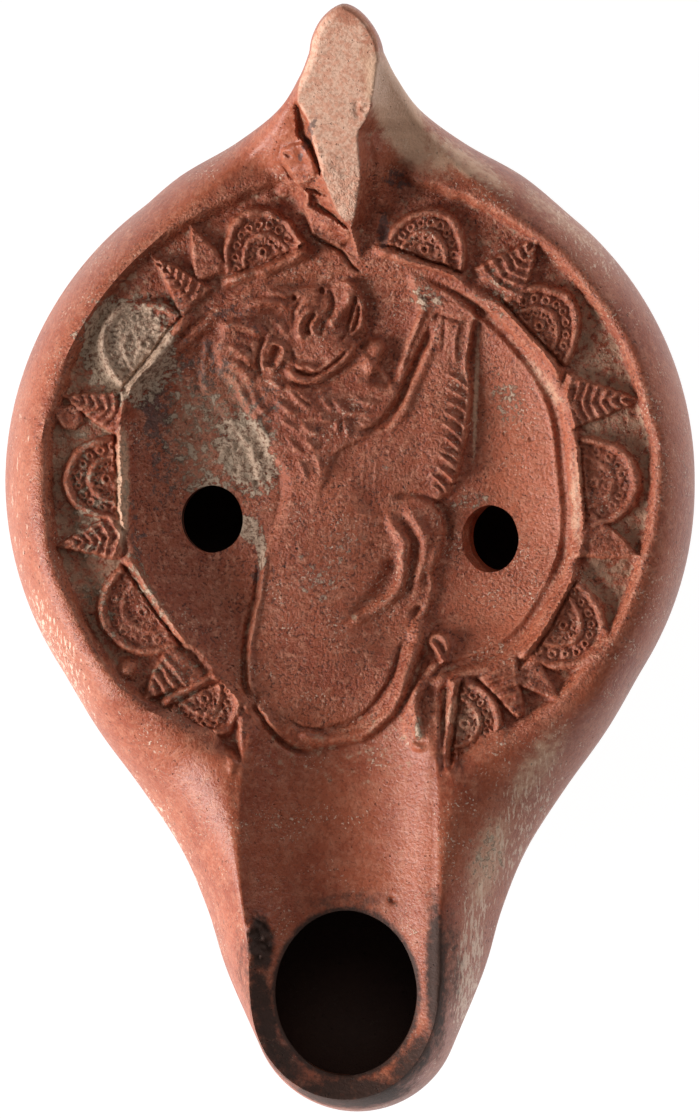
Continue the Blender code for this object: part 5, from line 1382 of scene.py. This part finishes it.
def clay_material():
    """Fired red clay under a thin slip, with specks, wear, earth in the hollows, stains and soot; with
    painted light on the lit side, painted sheen on the flanks, and painted shade in creases, hollows,
    holes and on the facet.
    """
    nodes = Nodes("red_slip_clay")
    metres = nodes.add("ShaderNodeTexCoord", {}).outputs["Object"]
    scaled = nodes.add("ShaderNodeVectorMath", {0: metres, "Scale": 1.0 / MM}, operation="SCALE")
    place = scaled.outputs[0]
    stretched = nodes.add("ShaderNodeVectorMath", {0: place, 1: STREAK_SHAPE}, operation="MULTIPLY")
    drawn_out = stretched.outputs[0]
    broad = nodes.noise(place, 8.0, 4.0)
    medium = nodes.noise(place, 1.8, 4.0, 0.6)
    grain = nodes.noise(place, 0.36, 2.0, 0.6)
    sand = nodes.noise(place, 0.75, 3.0, 0.6)
    powder = nodes.noise(place, 1.1, 6.0, 0.72)
    blotch = nodes.noise(place, 2.6, 6.0, 0.68)
    streak = nodes.noise(drawn_out, 1.0, 4.0, 0.7)
    coarse = nodes.attribute("coarse")
    clusters = nodes.ramp(blotch, 0.36, 0.58)
    specks = nodes.ramp(nodes.noise(place, 0.34, 2.0, 0.5), 0.6, 0.66)
    pits = nodes.ramp(nodes.noise(place, 0.6, 2.0, 0.5), 0.31, 0.25)
    hollow = nodes.attribute("hollow")
    painted_crease_shade = nodes.attribute("painted_crease_shade")

    colour = nodes.mix(nodes.ramp(broad, 0.35, 0.65), CLAY_DEEP, CLAY)
    # Painted light: the lit right side of the discus and channel is made brighter in colour.
    colour = nodes.mix(nodes.attribute("painted_light_and_smooth"), colour, CLAY_PAINTED_LIGHT)
    colour = nodes.mix(nodes.ramp(medium, 0.42, 0.8), colour, CLAY_WORN)
    clustered = nodes.math("MULTIPLY", coarse, clusters)
    depth = nodes.math("ADD", 0.36, nodes.math("MULTIPLY", clustered, 0.6))
    colour = nodes.cover(colour, nodes.ramp(grain, 0.5, 0.36), depth, CLAY_GRAIN_AND_SHADE)
    colour = nodes.cover(colour, nodes.ramp(sand, 0.5, 0.68), depth, CLAY_RUBBED)
    rubbed = nodes.math("MULTIPLY", nodes.attribute("edge"), nodes.ramp(powder, 0.35, 0.6))
    colour = nodes.cover(colour, rubbed, 0.6, CLAY_RUBBED)
    # Painted shade: the creases darkened in colour.
    colour = nodes.cover(colour, painted_crease_shade, 0.3, CLAY_GRAIN_AND_SHADE)
    speckled = nodes.math("MULTIPLY", specks, nodes.ramp(nodes.noise(place, 5.0, 3.0), 0.5, 0.66))
    colour = nodes.cover(colour, speckled, 0.85, PALE_SPECK)
    colour = nodes.cover(colour, pits, depth, PIT)
    bare = nodes.patchy(nodes.attribute("bare"), powder, 0.9, 0.3, 0.75)
    bare_clay = nodes.mix(nodes.ramp(sand, 0.42, 0.6), BARE_CLAY, BARE_PINK)
    # Painted shade: the facet's rounded tip, edges and right third darkened to a redder colour, with an
    # orange spot.
    bare_clay = nodes.mix(nodes.patchy(nodes.attribute("tip"), sand, 1.6, 0.2, 0.9), bare_clay, BARE_RED_AND_SHADE)
    bare_clay = nodes.cover(bare_clay, nodes.ramp(grain, 0.5, 0.36), 0.4, BARE_DARK)
    colour = nodes.cover(colour, bare, 0.9, bare_clay)
    scuff_and_sheen = nodes.attribute("scuff_and_sheen")
    # Painted sheen: the outer flanks paled overall; the streaks below are real white scratches.
    colour = nodes.cover(colour, scuff_and_sheen, 0.35, CLAY_SCUFF_AND_SHEEN)
    scuffed = nodes.patchy(scuff_and_sheen, streak, 3.4, 0.85, 1.1)
    colour = nodes.cover(colour, scuffed, 0.8, PALE_SPECK)
    dusty = nodes.patchy(nodes.attribute("dust"), powder, 1.7, 0.15, 0.95)
    colour = nodes.cover(colour, dusty, 0.7, DUST)

    sunk = nodes.math("MULTIPLY", hollow, 0.42)
    sunk = nodes.math("MAXIMUM", sunk, nodes.math("MULTIPLY", nodes.attribute("silt"), 0.66))
    earthy = nodes.patchy(sunk, powder, 2.4, 0.4, 0.8)
    colour = nodes.cover(colour, earthy, 0.72, EARTH)
    # Stains, and painted shade in the hollows beside the handle and in the torn gap.
    stain_and_shade = nodes.patchy(nodes.attribute("stain_and_shade"), powder, 3.2, 0.5, 0.7)
    colour = nodes.cover(colour, stain_and_shade, 0.72, DARK_STAIN_AND_SHADE)
    crusted = nodes.patchy(nodes.attribute("deposit"), powder, 2.6, 0.5, 0.7)
    crust = nodes.mix(nodes.ramp(nodes.noise(place, 0.55, 4.0, 0.7), 0.4, 0.54), CRUST_DARK, CRUST)
    colour = nodes.cover(colour, crusted, 0.8, crust)
    # Soot round the wick hole, and painted shade: the inside of the holes and of the chamber made
    # soot-black.
    soot_and_shade_part = nodes.patchy(nodes.attribute("soot_and_hole_shade"), powder, 1.2, 0.15, 0.8)
    colour = nodes.cover(colour, soot_and_shade_part, 0.94, SOOT_AND_HOLE_SHADE)
    nodes.feed(nodes.shader.inputs["Base Color"], colour)

    rough = nodes.math("ADD", ROUGHNESS, nodes.math("MULTIPLY", nodes.math("ADD", crusted, earthy), 0.22))
    rough = nodes.math("ADD", rough, nodes.math("MULTIPLY", nodes.math("MAXIMUM", bare, soot_and_shade_part), 0.3))
    nodes.feed(nodes.shader.inputs["Roughness"], nodes.math("MINIMUM", rough, 0.9))
    nodes.shader.inputs["Specular IOR Level"].default_value = SPECULAR
    relief = nodes.math("ADD", nodes.math("MULTIPLY", grain, 0.45), nodes.math("MULTIPLY", sand, 0.2))
    relief = nodes.math("ADD", relief, nodes.math("MULTIPLY", powder, 0.35))
    relief = nodes.math("MULTIPLY", relief, nodes.math("ADD", 0.5, coarse))
    relief = nodes.math("SUBTRACT", relief, nodes.math("MULTIPLY", pits, 0.5))
    relief = nodes.math("ADD", relief, nodes.math("MULTIPLY", crusted, 0.35))
    relief = nodes.math("ADD", relief, nodes.math("MULTIPLY", speckled, 0.15))
    bump = nodes.add("ShaderNodeBump", {"Height": relief, "Strength": 1.0, "Distance": BUMP_DEPTH * MM})
    nodes.feed(nodes.shader.inputs["Normal"], bump.outputs["Normal"])
    return nodes.material


def floor_material():
    """Plain white paper."""
    material = bpy.data.materials.new("pale_floor")
    material.use_nodes = True
    shader = material.node_tree.nodes["Principled BSDF"]
    shader.inputs["Base Color"].default_value = (FLOOR_GREY, FLOOR_GREY, FLOOR_GREY, 1.0)
    shader.inputs["Roughness"].default_value = 0.9
    shader.inputs["Emission Color"].default_value = (1.0, 1.0, 1.0, 1.0)
    shader.inputs["Emission Strength"].default_value = FLOOR_GLOW
    return material


def add_floor():
    """A plain pale floor under the lamp."""
    mesh = bpy.data.meshes.new("floor")
    corners = [(x * FLOOR_HALF_WIDTH, y * FLOOR_HALF_WIDTH, 0.0)
               for x, y in ((-1, -1), (1, -1), (1, 1), (-1, 1))]
    mesh.from_pydata(corners, [], [(0, 1, 2, 3)])
    floor = bpy.data.objects.new("floor", mesh)
    bpy.context.collection.objects.link(floor)
    mesh.materials.append(floor_material())


def add_area_light(name, azimuth, elevation, distance, size, power):
    """A square soft light aimed at the lamp from a direction, in degrees from +X."""
    light = bpy.data.lights.new(name, "AREA")
    light.size = size
    light.energy = power
    lamp_light = bpy.data.objects.new(name, light)
    bpy.context.collection.objects.link(lamp_light)
    flat = math.cos(math.radians(elevation))
    place = Vector((flat * math.cos(math.radians(azimuth)), flat * math.sin(math.radians(azimuth)),
                    math.sin(math.radians(elevation))))
    turned = place.to_track_quat("Z", "Y").to_matrix().to_4x4()
    lamp_light.matrix_world = Matrix.Translation(place * distance) @ turned


def add_camera():
    """A long lens straight above the lamp, its handle at the top of the picture."""
    camera = bpy.data.objects.new("camera", bpy.data.cameras.new("camera"))
    bpy.context.collection.objects.link(camera)
    camera.data.lens = CAMERA_LENS
    camera.data.sensor_width = SENSOR
    camera.data.sensor_fit = "VERTICAL"
    camera.data.sensor_height = SENSOR
    distance = CAMERA_LENS / SENSOR * FIELD * MM
    camera.data.clip_start = 0.1
    camera.data.clip_end = 2.0 * distance
    camera.location = (0.0, 0.0, CAMERA_LEVEL * MM + distance)
    bpy.context.scene.camera = camera


def add_world():
    """Even pale surroundings."""
    world = bpy.data.worlds.new("surroundings")
    bpy.context.scene.world = world
    world.use_nodes = True
    background = world.node_tree.nodes["Background"]
    background.inputs["Color"].default_value = (1.0, 1.0, 1.0, 1.0)
    background.inputs["Strength"].default_value = SURROUNDINGS


def main():
    """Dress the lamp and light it."""
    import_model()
    lamp = lamp_object()
    lamp.data.materials.append(clay_material())
    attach(lamp, "root")
    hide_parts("lamp")
    add_floor()
    add_world()
    for light in LIGHTS:
        add_area_light(*light)
    bpy.context.scene.view_settings.view_transform = "Standard"
    add_camera()


main()
